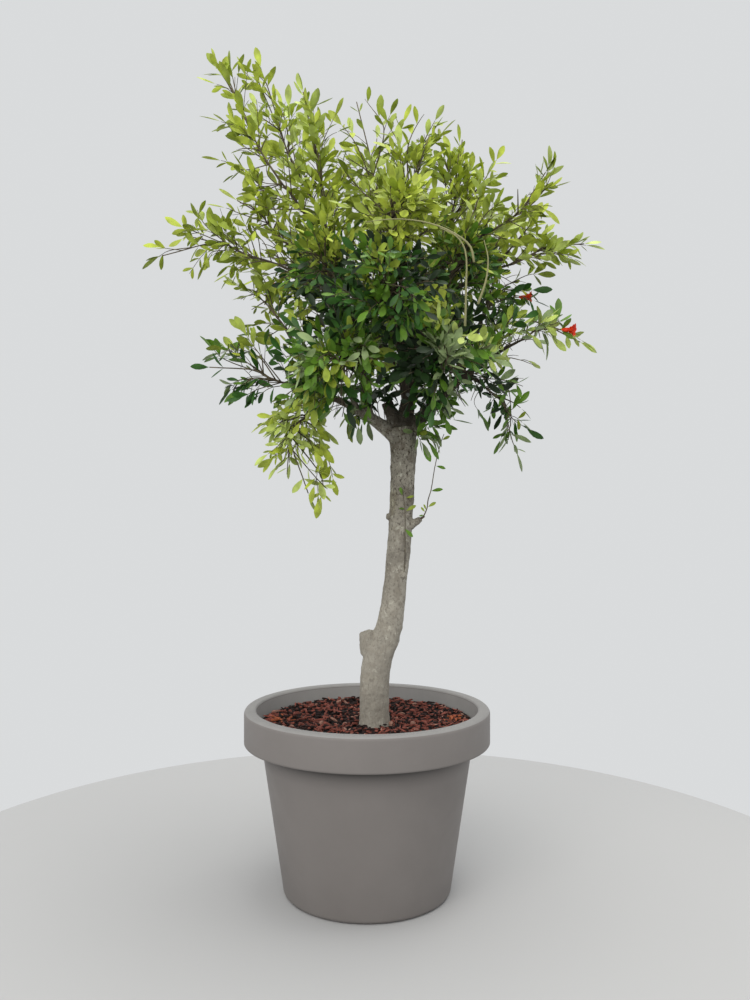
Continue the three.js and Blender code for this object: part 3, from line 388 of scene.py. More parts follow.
# Small sprigs on the bare limbs. For each bough, with a kind of leaf where it isn't bright: how far
# along it, the depth, and across, down and so on.
SPRIG_KIND = "bright"
SPRIGS = [
    ("left_low", None, [
        (0.3, -30, 354, 404, 358, 424, 358, 444), (0.2, 30, 366, 408, 368, 420, 364, 432),
        (0.25, 10, 350, 408, 348, 420, 352, 434), (0.15, -10, 384, 412, 384, 402, 378, 392),
    ]),
    ("right_lower", None, [
        (0.15, -20, 426, 426, 434, 438, 440, 452), (0.1, 0, 420, 430, 424, 440, 423, 450),
        (0.12, -10, 424, 428, 430, 438, 431, 450), (0.18, -30, 430, 420, 436, 432, 446, 440),
        (0.15, 20, 422, 418, 430, 424, 426, 436), (0.3, -20, 440, 416, 454, 420, 470, 426),
        (0.25, 30, 430, 408, 440, 402, 452, 404), (0.2, -50, 428, 424, 438, 426, 450, 418),
        (0.08, -40, 416, 434, 422, 444, 420, 456), (0.35, 10, 444, 404, 454, 410, 462, 418),
    ]),
    ("top_right", None, [
        (0.12, 30, 408, 404, 414, 396, 424, 392), (0.15, -30, 418, 400, 428, 400, 440, 396),
        (0.1, -40, 412, 412, 420, 415, 432, 412), (0.2, -40, 424, 386, 436, 386, 450, 392),
        (0.2, 20, 420, 388, 432, 380, 444, 376), (0.08, -20, 398, 404, 390, 398, 382, 398),
    ]),
    ("front_mid", None, [(0.3, -60, 398, 392, 392, 384, 384, 380)]),
    ("left_low", None, [
        (0.2, 20, 372, 402, 378, 396, 384, 388), (0.22, 0, 362, 410, 356, 420, 354, 432),
    ]),
    ("right_lower", None, [
        (0.12, -10, 424, 430, 430, 424, 440, 420), (0.08, -30, 418, 436, 424, 448, 428, 460),
        (0.1, -40, 420, 428, 426, 432, 432, 438), (0.06, -40, 416, 432, 424, 436, 436, 444),
        (0.3, -60, 446, 408, 454, 400, 466, 404), (0.3, -60, 442, 410, 446, 420, 444, 432),
    ]),
    ("left_low", None, [(0.2, -20, 378, 402, 386, 398, 394, 400)]),
    ("right_lower", None, [(0.3, -50, 438, 412, 446, 406, 454, 400)]),
    ("top_right", None, [(0.05, -20, 402, 414, 394, 408, 388, 402)]),
    ("front_right", "pale", [
        (0.9, -270, 446, 362, 450, 352, 454, 344), (0.9, -260, 440, 352, 438, 344, 436, 334),
        (0.9, -250, 442, 340, 440, 330, 442, 322),
    ]),
    ("core_right", "lime", [(0.9, -200, 440, 318, 438, 310, 440, 302)]),
    ("right_lower", "pale", [
        (0.9, -60, 494, 340, 490, 352, 492, 364), (0.9, -60, 500, 342, 504, 354, 500, 368),
    ]),
    ("right_lower", "sage", [
        (0.8, -110, 496, 340, 506, 328, 516, 318), (0.85, -110, 500, 346, 512, 340, 522, 332),
        (0.9, -100, 508, 338, 518, 328, 530, 322), (0.9, -100, 512, 326, 524, 318, 536, 316),
    ]),
    ("right_lower", "pale", [(0.95, -100, 514, 334, 526, 330, 538, 326)]),
    ("right_lower", "sage", [(0.95, -90, 524, 330, 534, 338, 538, 346)]),
    ("right_lower", "shade", [
        (0.4, 0, 458, 392, 464, 384, 462, 372), (0.4, -10, 460, 394, 470, 388, 472, 376),
    ]),
    ("left_low", None, [
        (0.2, 0, 366, 410, 362, 424, 366, 438), (0.25, -20, 356, 408, 352, 424, 347, 436),
    ]),
    ("right_lower", None, [(0.1, -30, 422, 430, 430, 444, 433, 458)]),
]

# The shoot from the trunk's stub and one that climbs the front of the trunk: across, down, across,
# down on their way, and the same of each of their leaves, from its foot to its tip.
SPROUT_LINE = (427, 508, 428, 500, 431, 490, 435, 466, 441, 442, 444, 434)
SPROUT_LEAVES = [
    (431, 491, 443, 489), (428, 507, 436, 502), (436, 466, 446, 468), (425, 512, 421, 507),
    (424, 515, 419, 516), (426, 510, 424, 504), (441, 444, 436, 438), (442, 440, 450, 436),
]
CLIMBER_LINE = (404, 572, 405, 560, 405, 540, 405, 515, 404, 502, 402, 490)
CLIMBER_LEAVES = [
    (405, 529, 413, 537), (406, 511, 416, 505), (405, 509, 399, 508), (406, 498, 414, 496),
    (403, 496, 400, 487),
]
SPROUT = {
    "stub": 1, "seed": 77, "depth": -12, "above_bark": 3, "foot_length": 9, "sunk": 2, "overlap": 3,
    "foot_radii": (3.0, 2.2), "foot_sides": 7, "radii": (1.4, 0.7), "climber_radii": (0.9, 0.6),
    "sides": 5, "steps": 20, "widest": 0.8, "face_up": (0.3, 0.5),
}

# Long pale stems that arch over the front of the crown: their depth, then across, down and so on.
PALE_STEMS = [
    (-300, 465, 326, 466, 290, 465, 250, 456, 236, 440, 228),
    (-290, 474, 262, 470, 246, 452, 232, 425, 222, 395, 219, 365, 222),
    (-310, 478, 304, 486, 280, 488, 258, 484, 240),
]
PALE_STEM = {"foot": 2.2, "taper": 1.5, "steps": 16, "sides": 6}

# --- colours, each from 0 to 255

# Base colours for each kind of leaf, and how often each is dealt. The dark kinds are partly older leaves
# and partly painted shade inside the crown, night almost wholly painted shade.
PALETTE = {
    "lime": (168, 182, 66),
    "olive": (138, 154, 54),
    "green": (90, 126, 38),
    "deep": (48, 86, 30),
    "night": (24, 44, 16),
    "light": (176, 192, 102),
    "sage": (134, 152, 104),
}
DEALS = {
    "lime": "lime lime olive lime olive olive",
    "green": "deep green night night green deep",
    "deep": "deep green deep night green deep",
    "light": "light light lime light lime light",
    "bright": "green sage green olive deep olive",
    "sage": "sage green light sage night green",
    "middle": "olive green olive lime deep green",
    "crest": "lime light olive lime lime light",
    "pale": "sage green sage sage light sage",
    "leafy": "green olive green deep sage green",
    "shade": "deep night green deep night night",
}
# Painted light, partly young leaves too: above this height, where the crown is lit from above, sprays are
# lime, and they are mixed for a while below it. It is lower towards the front and the back, and higher in
# the middle.
LIT = {
    "height": 985, "slope": 0.26, "blend": 45, "loose": 1.6, "rise": 30, "half": 200,
    "lime_from": 0.6, "mixed_from": -0.5,
}
# Right of a place and above a height that sinks to the right, they are paler still: more painted light on
# the crown's top.
CREST = {"from": -225, "height": 1088, "lean": 0.4}

# How a material varies: roughness and specular; the noise of its colour as scale, detail and
# roughness; its tones, as colours or as shares of the base colour; and the noise, the strength and
# the depth in metres of its relief.
LEAF_LOOK = ((0.45, 0.3), (38, 2), [(0.35, 0.86), (0.5, 1), (0.66, 1.12)], ((420, 2), 0.25, 0.0006))
CHIP_FINISH = (0.8, 0.3)
CHIP_GRAIN = (90, 4, 0.6)
CHIP_TONES = (0.3, 0.7)
CHIP_RELIEF = ((260, 4, 0.65), 0.6, 0.0012)
POT_RELIEF = ((900, 2), 0.12, 0.0004)
TWIG_TONES = [(0.35, (64, 55, 46)), (0.65, (104, 94, 72))]
PETAL_TONES = [(0.35, (196, 34, 14)), (0.65, (228, 66, 26))]
POT_TONES = [(0.3, (121, 116, 113)), (0.7, (127, 122, 119))]
BARK_TONES = [(0.32, (96, 91, 82)), (0.5, (134, 129, 118)), (0.68, (160, 155, 143))]
BARK_RELIEF = ((120, 5, 0.7, (1, 1, 0.5)), 0.8, 0.0024)
BARK_FINE_RELIEF = ((420, 3, 0.7), 0.5, 0.0009)
LOOKS = {  # base colour first
    "twig_bark": ((84, 74, 60), (0.7, 0.3), (60, 3), TWIG_TONES, ((300, 2), 0.3, 0.0006)),
    "stem_pale": ((142, 140, 98), (0.6, 0.3), (37.5, 3), [(0.35, 0.93), (0.65, 1)], ((300, 3), 0.3, 0.001)),
    "petals": ((214, 44, 18), (0.5, 0.3), (150, 3), PETAL_TONES),
    # The rim's top and the inside wall: paler, partly bleached plastic and partly painted light.
    "pot_bleached_and_painted_light": ((150, 148, 146), (0.6, 0.35), (16, 5, 0.6), [(0.3, 0.95), (0.7, 1)], POT_RELIEF),
    "pot_plastic": ((124, 119, 116), (0.55, 0.35), (6, 5, 0.6), POT_TONES, POT_RELIEF),
    "bark": ((128, 124, 114), (0.9, 0.15), (22, 6, 0.66), BARK_TONES, BARK_RELIEF),
}
POT_SHEEN = {"grain": (14, 4), "values": [(0.3, 0.5), (0.7, 0.62)]}
# Painted shade under the rim: how much darker the planter is at each distance below its rim, in
# millimetres.
UNDER_RIM = [(9, 0.8), (14, 0.5), (20, 0.26), (28, 0.12), (42, 0.0)]
# The colour of the painted shade under the rim.
RIM_SHADE = (24, 22, 20)
# Blotches, lichen, a green cast and dark specks: their noise, how much of them shows, their colour.
BARK_SPOTS = [
    ((55, 4, 0.62, (1, 1, 0.8)), [(0.5, 0.0), (0.6, 0.75)], (104, 96, 84)),
    ((85, 4, 0.65), [(0.58, 0.0), (0.68, 0.85)], (184, 182, 168)),
    ((11, 4, 0.7), [(0.58, 0.0), (0.8, 0.5)], (124, 120, 74)),
    ((230, 3, 0.75, (1, 1, 0.7)), [(0.38, 0.9), (0.47, 0.0)], (62, 54, 46)),
]
# By metres above the floor: the bark is pale towards the foot, and dark inside the crown, partly darker
# bark and partly painted shade.
BARK_HEIGHTS = [
    ([(0.45, 0.5), (0.85, 0.0)], (186, 180, 168)),
    ([(0.965, 0.0), (1.0, 0.85)], (58, 48, 38)),
]
# The boughs to the right of a slanting line at the fork are dark from lower down.
FORK_SHADE = {
    "slant": 0.415,
    "right": [(0.4375, 0.0), (0.442, 1.0)],
    "above": [(0.937, 0.0), (0.952, 0.8)],
    "colour": (52, 46, 38),
}

# --- bark, chips, stage and light

SKIN = {
    "trunk_steps": 90, "trunk_sides": 36, "stub_steps": 6, "stub_sides": 18, "stub_taper": 1.4,
    "bough_steps": 16, "bough_sides": 14, "voxel": 2.0, "smoothing": 0.5, "rounds": 2,
}
# The bark's relief: the size of its forms, how they are drawn out upward, octaves and lift.
RIDGES = {"size": 16, "stretch": 0.5, "octaves": 4, "lift": 0.9}
GRAIN = {"size": 5, "stretch": 0.55, "octaves": 3, "lift": 0.55}
KNOTS = {"size": 34, "stretch": 0.8, "octaves": 2, "lift": 3.4, "above": 0.25}
ROUGHNESS = {"gain": 0.6, "step": 2.1}
RELIEF_FADE = {"top": 700, "over": 160, "least": 0.25}  # it fades upward, as the boughs get thin

POT_SIDES = 128
ROUND_STEPS = 8
EDGE_ANGLE = math.radians(42)

BED = {"sides": 96, "rings": 14, "inset": 1.5, "above_soil": 1, "dip": 8, "heap": 7, "heap_power": 3}
LUMPS = {"height": 3.0, "size": 60, "seed": 3, "gain": 1, "step": 2, "octaves": 3}
# Colours and how far they vary: the bed's, near black as painted shade in the gaps between the chips, the
# soil's and, with how often it is dealt, each pile's.
BED_LOOK = ((10, 5, 4), 0.35)
SOIL_LOOK = ((42, 29, 22), 0.3)
CHIPS = {
    "chips_dark": ((34, 19, 16), 0.35, 10),
    "chips_red": ((110, 60, 50), 0.35, 11),
    "chips_tan": ((142, 78, 50), 0.3, 0),
    "chips_pale": ((150, 112, 98), 0.2, 1),
}
CHIP = {
    "count": 1900, "seed": 31, "inset": 6, "trunk_clear": 33, "length": 8, "longer": 18, "skew": 1.6,
    "width": (3, 5), "thick": (1.5, 3), "tilt": (0.9, 0.7), "turn": 6.3, "lift": (1, 6),
    "edge_gap": 1,
}
# A chip's outline and its section: half heights from -0.5 to 0.5 and how far each is drawn in.
SHARD = {"sides": 6, "loose": 0.5, "long": (0.8, 0.3), "wide": (0.75, 0.4)}
SHARD_LEVELS = [(-0.5, 0.9), (0.1, 1.0), (0.5, 0.72)]
TAN_HEAPS = [(-173, 10), (175, 12)]  # where the paler brown chips lie together
TAN_HEAP = {"radius": 24, "share": 0.7}
PALE_LUMPS = [(-92, -16), (-45, -20), (48, -16), (93, -14)]
PALE_LUMP = {"size": (11, 10, 8), "lift": 5}

FLOOR = {"radius": 1.05, "sides": 128, "below": 0.0005, "colour": (186, 186, 186)}
FLOOR_FINISH = (0.9, 0.1)
SKY = {"colour": (0.85, 0.866, 0.876, 1), "strength": 0.82}
# Name, place, what it lights, size, power and colour.
LIGHTS = [
    ("key", (-1.0, -3.0, 2.9), (0, 0, 1.0), 2.8, 69, (1, 0.97, 0.92)),
    ("top", (0.6, 0.1, 4.2), (0, 0, 1.2), 2.6, 84, (1, 0.99, 0.96)),
    ("fill", (-2.6, -2.0, 1.8), (0, 0, 1.2), 2.0, 8, (1, 1, 1)),
]
SENSOR = 36

# --- seeded numbers and curves

CENTRIPETAL = 0.25
STEEP = 0.9  # from here on a direction counts as upright


def seeded(seed):
    """A function that gives the source's numbers from 0 to 1 for one seed."""
    state = (seed * NUMBERS["stride"] + NUMBERS["offset"]) % NUMBERS["range"]

    def draw():
        nonlocal state
        state = state * NUMBERS["factor"] % NUMBERS["range"]
        return state / NUMBERS["range"]

    draw()
    draw()
    return draw


def above(random, least, span):
    """A number from `least` to `least` + `span`."""
    return least + span * random()


def around(random, span):
    """A number from minus half of `span` to half of it."""
    return span * (random() - 0.5)


def catmull(points, t, power=None):
    """A point on a Catmull-Rom curve: centripetal with power 0.25, plain without one."""
    last = len(points) - 1
    place = last * t
    i = min(int(place), last - 1)
    w = place - i
    b, c = points[i], points[i + 1]
    a = points[i - 1] if i > 0 else b * 2 - c
    d = points[i + 2] if i + 2 <= last else c * 2 - b
    if power:
        step = [max(1e-4, (q - p).length_squared ** power) for p, q in ((a, b), (b, c), (c, d))]
        out = (b - a) / step[0] - (c - a) / (step[0] + step[1]) + (c - b) / step[1]
        into = (c - b) / step[1] - (d - b) / (step[1] + step[2]) + (d - c) / step[2]
        out *= step[1]
        into *= step[1]
    else:
        out = (c - a) * 0.5
        into = (d - b) * 0.5
    return (
        b
        + out * w
        + (b * -3 + c * 3 - out * 2 - into) * w * w
        + (b * 2 - c * 2 + out + into) * w**3
    )


def bezier(a, b, c, t):
    return a * (1 - t) ** 2 + b * (2 * t * (1 - t)) + c * t * t


def square_to(way, angle):
    """Any direction square to `way`, turned about it by `angle`."""
    first = (UP if abs(way.z) < STEEP else ASIDE).cross(way).normalized()
    return Matrix.Rotation(angle, 3, way) @ first


def angles(sides):
    return [TURN * k / sides for k in range(sides)]


class Course:
    """A limb's or twig's line as points, with places and directions along it."""

    def __init__(self, points):
        self.points = points
        self.length = sum([(q - p).length for p, q in zip(points, points[1:])])

    def split(self, t):
        place = min(max(t, 0), 1) * (len(self.points) - 1)
        i = min(int(place), len(self.points) - 2)
        return self.points[i], self.points[i + 1], place - i

    def at(self, t):
        a, b, w = self.split(t)
        return a.lerp(b, w)

    def way(self, t):
        a, b, _ = self.split(t)
        return (b - a).normalized()


def through(stations, steps):
    """A smooth course through some places."""
    return Course([catmull(stations, i / steps, CENTRIPETAL) for i in range(steps + 1)])


def curved(curve, steps):
    """A course along a curve of three points."""
    return Course([bezier(*curve, i / steps) for i in range(steps + 1)])


def bowed(start, end, rise, steps):
    """A course between two places that bows upward."""
    return curved((start, start.lerp(end, 0.5) + UP * rise, end), steps)


# --- the photograph


def seen(px, py, depth):
    """The place at a depth from the trunk's foot that the photograph shows at a pixel."""
    away = (depth + TREE_FOOT.y - CAMERA.y) / FOCAL
    x = CAMERA.x + (px - MIDDLE[0]) * away
    z = CAMERA.z - (py - MIDDLE[1]) * away
    return Vector((x, depth + TREE_FOOT.y, z)) - TREE_FOOT


def pixels_of(row):
    """The pixels of a row that says across, down, across, down and so on."""
    return zip(row[::2], row[1::2])


def all_seen(row, depth):
    return [seen(px, py, depth) for px, py in pixels_of(row)]


def pixel_of(place):
    """Where the photograph shows a place."""
    spot = place + TREE_FOOT - CAMERA
    return MIDDLE[0] + spot.x * FOCAL / spot.y, MIDDLE[1] - spot.z * FOCAL / spot.y


def in_opening(place, random):
    """Whether a leaf at this place is one of those left out."""
    px, py = pixel_of(place)
    for x, y, radius, share in OPENINGS:
        if math.hypot(px - x, py - y) < radius and random() < share:
            return True
    return False


def patch_at(place):
    """The patch of its own colour that a spray stands in, if any."""
    px, py = pixel_of(place)
    for x, y, radius, kind in PATCHES:
        if place.y < PATCH_DEPTH and math.hypot(px - x, py - y) < radius:
            return kind
    return None


# --- masses and limbs, as in the source


class Mass:
    """A mass's space: an ellipsoid cut by flat walls against its neighbours."""

    def __init__(self, seed, name, on, t, centre, tip, across, leaf, fullness):
        self.seed, self.name, self.on, self.t = seed, name, on, t
        self.leaf, self.fullness = leaf, fullness
        self.on_trunk = t is None
        self.centre = Vector(centre)
        axis = Vector(tip) - self.centre
        self.along = axis.length
        self.way = axis.normalized()
        self.across = across
        self.walls = []

    def own_reach(self, way):
        along = way.dot(self.way)
        across = math.sqrt(max(0.0, 1 - along * along))
        return 1 / math.hypot(along / self.along, across / self.across)

    def slope_at(self, offset):
        along = offset.dot(self.way) * (1 / self.along**2 - 1 / self.across**2)
        return offset / self.across**2 + self.way * along

    def wall_to(self, other):
        between = other.centre - self.centre
        toward = between.normalized()
        mine = self.own_reach(toward)
        share = mine / (mine + other.own_reach(-toward))
        from_mine = between * share
        from_theirs = between * (share - 1)
        normal = (self.slope_at(from_mine) - other.slope_at(from_theirs)).normalized()
        return normal, normal.dot(self.centre) + normal.dot(from_mine) - WALL_MARGIN

    def reach(self, way):
        least = self.own_reach(way)
        for normal, offset in self.walls:
            slope = normal.dot(way)
            if slope > 1e-6:
                least = min(least, (offset - normal.dot(self.centre)) / slope)
        return least

    def holds(self, point, slack=0):
        away = point - self.centre
        if away.length > self.own_reach(away.normalized()) + slack * SPACE_SLACK:
            return False
        return all(normal.dot(point) <= offset + slack for normal, offset in self.walls)


masses = [Mass(i + 1, *row) for i, row in enumerate(MASSES)]
for one in masses:
    one.walls = [one.wall_to(other) for other in masses if other is not one]
mass_named = {m.name: m for m in masses}

trunk_rows = [Vector(at) for at, _ in TRUNK]
trunk_radii = [Vector((radius, 0, 0)) for _, radius in TRUNK]
trunk_path = [catmull(trunk_rows, i / TRUNK_STEPS) for i in range(TRUNK_STEPS + 1)]


def trunk_at(z):
    """The point of the source's trunk line at height z."""
    i = next((k for k, p in enumerate(trunk_path) if k and p.z >= z), TRUNK_STEPS)
    a, b = trunk_path[i - 1], trunk_path[i]
    return a.lerp(b, (z - a.z) / (b.z - a.z))


class Bough:
    """A limb from the trunk or another bough to where it enters its mass."""

    def __init__(self, m):
        size = MAIN if m.on_trunk else LESSER
        parent = None if m.on_trunk else boughs[m.on]
        start = trunk_at(m.on) if m.on_trunk else parent.at(m.t)
        to_mass = (m.centre - start).normalized()
        inside = min(m.reach(-to_mass) * STEM["entry"], (m.centre - start).length / 2)
        self.end = m.centre - to_mass * inside
        rise = UP * ((self.end - start).length * BOUGH_RISE)
        self.curve = (start, start.lerp(self.end, BOUGH_BEND) + rise, self.end)
        self.way = (self.end - self.at(1 - 1 / size["steps"])).normalized()
        self.tip = size["tip"]
        self.foot = size["foot"]
        if parent:
            self.foot = min(self.foot, parent.radius(m.t) * FOOT_SHARE)

    def at(self, t):
        return bezier(*self.curve, t)

    def radius(self, t):
        swell = self.foot * COLLAR["swell"] * (1 - t) ** COLLAR["fade"]
        return self.foot + (self.tip - self.foot) * t + swell

    def thinned(self, t):
        """Its radius here, where it ends finer than the solid that it replaces."""
        return self.radius(t) * (1 - t + t * FINEST / self.radius(1))


boughs = {}
for one in masses:
    boughs[one.name] = Bough(one)


def stem_of(m):
    """A mass's stem: from its bough's tip through its centre to its furthest leaf."""
    bough = boughs[m.name]
    foot = bough.end - bough.way * STEM["overlap"]
    tip = m.centre + m.way * (m.reach(m.way) - LEAF["length"] * STEM["leaf"])
    bend = foot.lerp(m.centre, 0.5) + bough.way * ((m.centre - foot).length * STEM["follow"])
    return through([foot, bend, m.centre, tip], STEM["steps"])


def on_stem(m, stem, t):
    """A place on a mass's stem or, below 0, on its bough."""
    return stem.at(t) if t >= 0 else boughs[m.name].at(1 + t)


def shoot_of(m, k, stem, random):
    """Side shoot `k` of a mass, aimed at its own part of the face of the mass's space."""
    own = k <= m.across / SHOOT["spacing"]
    rule = SHOOT if own else FINER
    lean = rule["forward"] - rule["spread"] * ((k * GOLDEN) % 1)
    out = square_to(m.way, k * SHOOT["turn"] + SHOOT["loose"] * random())
    aim = m.way * lean + out * math.sqrt(1 - lean * lean)
    face = m.centre + aim * m.reach(aim)
    if own:
        place = SHOOT_FOOT["middle"] + SHOOT_FOOT["lean"] * lean - SHOOT_FOOT["step"] * k
        place = min(max(place, SHOOT_FOOT["first"]), SHOOT_FOOT["last"])
    else:
        place = FINER["first"] + (FINER["last"] - FINER["first"]) * ((k * GOLDEN * GOLDEN) % 1)
    start = on_stem(m, stem, place)
    length = max(SHOOT["shortest"], (face - start).length - LEAF["length"] * SHOOT["leaf"])
    end = start + (face - start).normalized() * length
    return bowed(start, end, length * SHOOT["arch"] * random(), SHOOT["steps"])


# --- joined meshes


class Pile:
    """Points and faces gathered for one joined mesh, in millimetres from the trunk's foot."""

    def __init__(self):
        self.points = []
        self.faces = []

    def bands(self, base, rings, sides):
        """Faces between rings of points that follow each other from `base` on."""
        for low in range(base, base + (rings - 1) * sides, sides):
            for k in range(sides):
                n = (k + 1) % sides
                self.faces.append((low + k, low + n, low + n + sides, low + k + sides))

    def closed(self, base, rings, sides):
        """The same with a face over each end."""
        self.bands(base, rings, sides)
        top = base + (rings - 1) * sides
        self.faces.append(tuple(base + k for k in reversed(range(sides))))
        self.faces.append(tuple(top + k for k in range(sides)))

    def tube(self, points, radii, sides):
        """A closed tube along `points`, with its own radius at each."""
        base = len(self.points)
        first = (points[1] - points[0]).normalized()
        side = ASIDE if abs(first.z) > STEEP else UP
        last = len(points) - 1
        for i, point in enumerate(points):
            tangent = (points[min(i + 1, last)] - points[max(i - 1, 0)]).normalized()
            side = (side - tangent * side.dot(tangent)).normalized()
            across = tangent.cross(side)
            for angle in angles(sides):
                radius = radii(i, angle) if callable(radii) else radii[i]
                out = side * math.cos(angle) + across * math.sin(angle)
                self.points.append(point + out * radius)
        self.closed(base, len(points), sides)

    def piece(self, name, material, smooth=True, origin=TREE_FOOT):
        mesh = bpy.data.meshes.new(name)
        mesh.from_pydata([(p + origin) * MM for p in self.points], [], self.faces)
        return finished(name, mesh, material, smooth)


def placed(name, data):
    """A new object in the scene."""
    thing = bpy.data.objects.new(name, data)
    bpy.context.scene.collection.objects.link(thing)
    return thing


def finished(name, mesh, material, smooth=True):
    mesh.validate()
    mesh.polygons.foreach_set("use_smooth", [smooth] * len(mesh.polygons))
    mesh.materials.append(material)
    piece = placed(name, mesh)
    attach(piece, ROOT)
    return piece


# A leaf's outline: share of its length, half width, sag of the middle rib, all in leaf lengths.
LEAF_STATIONS = [
    (0.07, 0.018, 0.0),
    (0.28, 0.11, 0.016),
    (0.52, 0.172, 0.024),
    (0.74, 0.164, 0.018),
    (0.92, 0.08, 0.006),
]
LEAF_CURLS = [0.03, 0.10, 0.17, -0.05]  # how far the tip drops, in leaf lengths


def leaf_template(curl):
    points = [(0, 0, 0)]
    for x, half, sag in LEAF_STATIONS:
        drop = -curl * x * x
        points += [(x, -half, drop + sag), (x, 0, drop - sag), (x, half, drop + sag)]
    points.append((1, 0, -curl))
    return np.array(points)


LEAF_TEMPLATES = [leaf_template(curl) for curl in LEAF_CURLS]
LEAF_POINTS = len(LEAF_TEMPLATES[0])
LEAF_TIP = LEAF_POINTS - 1
LEAF_FACES = [(0, 2, 1), (0, 3, 2)]
for a in range(1, LEAF_TIP - 3, 3):
    LEAF_FACES += [(a, a + 1, a + 4, a + 3), (a + 1, a + 2, a + 5, a + 4)]
LEAF_FACES += [(LEAF_TIP - 3, LEAF_TIP - 2, LEAF_TIP), (LEAF_TIP - 2, LEAF_TIP - 1, LEAF_TIP)]


class Leaves:
    """Every leaf of one colour, joined."""

    def __init__(self):
        self.rows = []

    def add(self, foot, way, face, length, shape):
        across = way.cross(face).normalized()
        self.rows.append((foot, [way, across, across.cross(way)], length, shape))

    def piece(self, name, material):
        points = []
        for foot, axes, length, shape in self.rows:
            points.append(LEAF_TEMPLATES[shape] @ (np.array(axes) * length) + np.array(foot + TREE_FOOT))
        points = np.concatenate(points) * MM
        bases = range(0, LEAF_POINTS * len(self.rows), LEAF_POINTS)
        faces = [tuple(base + v for v in face) for base in bases for face in LEAF_FACES]
        mesh = bpy.data.meshes.new(name)
        mesh.from_pydata(points.tolist(), [], faces)
        return finished(name, mesh, material)


# --- materials


def linear(value):
    value /= 255
    return value / 12.92 if value <= 0.04045 else ((value + 0.055) / 1.055) ** 2.4


def rgba(colour):
    """A colour given as 0 to 255, as the shader takes it."""
    return (*[linear(c) for c in colour], 1)


class Shader:
    """A node material: one Principled shader, with noise for its colour and its bump."""

    def __init__(self, name, colour, roughness, specular):
        self.material = bpy.data.materials.new(name)
        self.material.use_nodes = True
        self.nodes = self.material.node_tree.nodes
        self.links = self.material.node_tree.links
        self.shader = self.nodes["Principled BSDF"]
        self.shader.inputs["Base Color"].default_value = rgba(colour)
        self.shader.inputs["Roughness"].default_value = roughness
        self.shader.inputs["Specular IOR Level"].default_value = specular
        self.place = self.nodes.new("ShaderNodeTexCoord").outputs["Object"]
        self.material.diffuse_color = rgba(colour)

    def feed(self, socket, value):
        """A number, a colour or what another node gives goes into a socket."""
        if isinstance(value, tuple):
            socket.default_value = rgba(value)
        elif isinstance(value, (int, float)):
            socket.default_value = value
        else:
            self.links.new(value, socket)

    def noise(self, scale, detail=4, roughness=0.55, stretch=(1, 1, 1)):
        stretched = self.nodes.new("ShaderNodeMapping")
        stretched.inputs["Scale"].default_value = stretch
        self.links.new(self.place, stretched.inputs["Vector"])
        node = self.nodes.new("ShaderNodeTexNoise")
        node.inputs["Scale"].default_value = scale
        node.inputs["Detail"].default_value = detail
        node.inputs["Roughness"].default_value = roughness
        self.links.new(stretched.outputs["Vector"], node.inputs["Vector"])
        return node.outputs["Fac"]

    def measure(self, axis="Z"):
        """The height above the floor, or the place along another axis, in metres."""
        node = self.nodes.new("ShaderNodeSeparateXYZ")
        self.links.new(self.place, node.inputs["Vector"])
        return node.outputs[axis]

    def ramp(self, source, stops):
        """Stops are (place, colour) or (place, value)."""
        node = self.nodes.new("ShaderNodeValToRGB")
        ramp = node.color_ramp
        while len(ramp.elements) < len(stops):
            ramp.elements.new(0.5)
        for element, (place, value) in zip(ramp.elements, stops):
            element.position = place
            element.color = rgba(value) if isinstance(value, tuple) else (value, value, value, 1)
        self.links.new(source, node.inputs["Fac"])
        return node.outputs["Color"]

    def reckon(self, kind, a, b):
        """The sum, product and so on of two values."""
        node = self.nodes.new("ShaderNodeMath")
        node.operation = kind
        self.feed(node.inputs[0], a)
        self.feed(node.inputs[1], b)
        return node.outputs[0]

    def mix(self, factor, a, b):
        node = self.nodes.new("ShaderNodeMix")
        node.data_type = "RGBA"
        self.feed(node.inputs[0], factor)
        self.feed(node.inputs[6], a)
        self.feed(node.inputs[7], b)
        return node.outputs[2]

    def colour(self, source):
        self.links.new(source, self.shader.inputs["Base Color"])

    def bump(self, grain, strength, distance):
        """Relief by noise, on top of any that is there."""
        node = self.nodes.new("ShaderNodeBump")
        node.inputs["Strength"].default_value = strength
        node.inputs["Distance"].default_value = distance
        self.links.new(self.noise(*grain), node.inputs["Height"])
        previous = self.shader.inputs["Normal"]
        if previous.is_linked:
            self.links.new(previous.links[0].from_socket, node.inputs["Normal"])
        self.links.new(node.outputs["Normal"], previous)


def tinted(colour, tone):
    """A colour's share, or a colour of its own."""
    return tone if isinstance(tone, tuple) else tuple(min(255, c * tone) for c in colour)


def mottled(name, colour, finish, grain, tones, relief=None):
    """A shader whose colour varies by noise, and the varied colour."""
    look = Shader(name, colour, *finish)
    varied = look.ramp(look.noise(*grain), [(place, tinted(colour, tone)) for place, tone in tones])
    look.colour(varied)
    if relief:
        look.bump(*relief)
    return look, varied


def chip_material(name, colour, vary):
    tones = zip(CHIP_TONES, (1 - vary, 1 + vary))
    return mottled(name, colour, CHIP_FINISH, CHIP_GRAIN, tones, CHIP_RELIEF)[0].material


def material_of(name):
    return mottled(name, *LOOKS[name])[0].material


def bark_material():
    look, base = mottled("bark", *LOOKS["bark"])
    for grain, stops, colour in BARK_SPOTS:
        base = look.mix(look.ramp(look.noise(*grain), stops), base, colour)
    # Paler towards the foot, and darker inside the crown: partly darker bark, partly painted shade.
    for stops, colour in BARK_HEIGHTS:
        base = look.mix(look.ramp(look.measure(), stops), base, colour)
    slant = look.reckon("MULTIPLY", look.measure(), FORK_SHADE["slant"])
    right = look.ramp(look.reckon("ADD", look.measure("X"), slant), FORK_SHADE["right"])
    higher = look.ramp(look.measure(), FORK_SHADE["above"])
    look.colour(look.mix(look.reckon("MULTIPLY", right, higher), base, FORK_SHADE["colour"]))
    look.bump(*BARK_FINE_RELIEF)
    return look.material


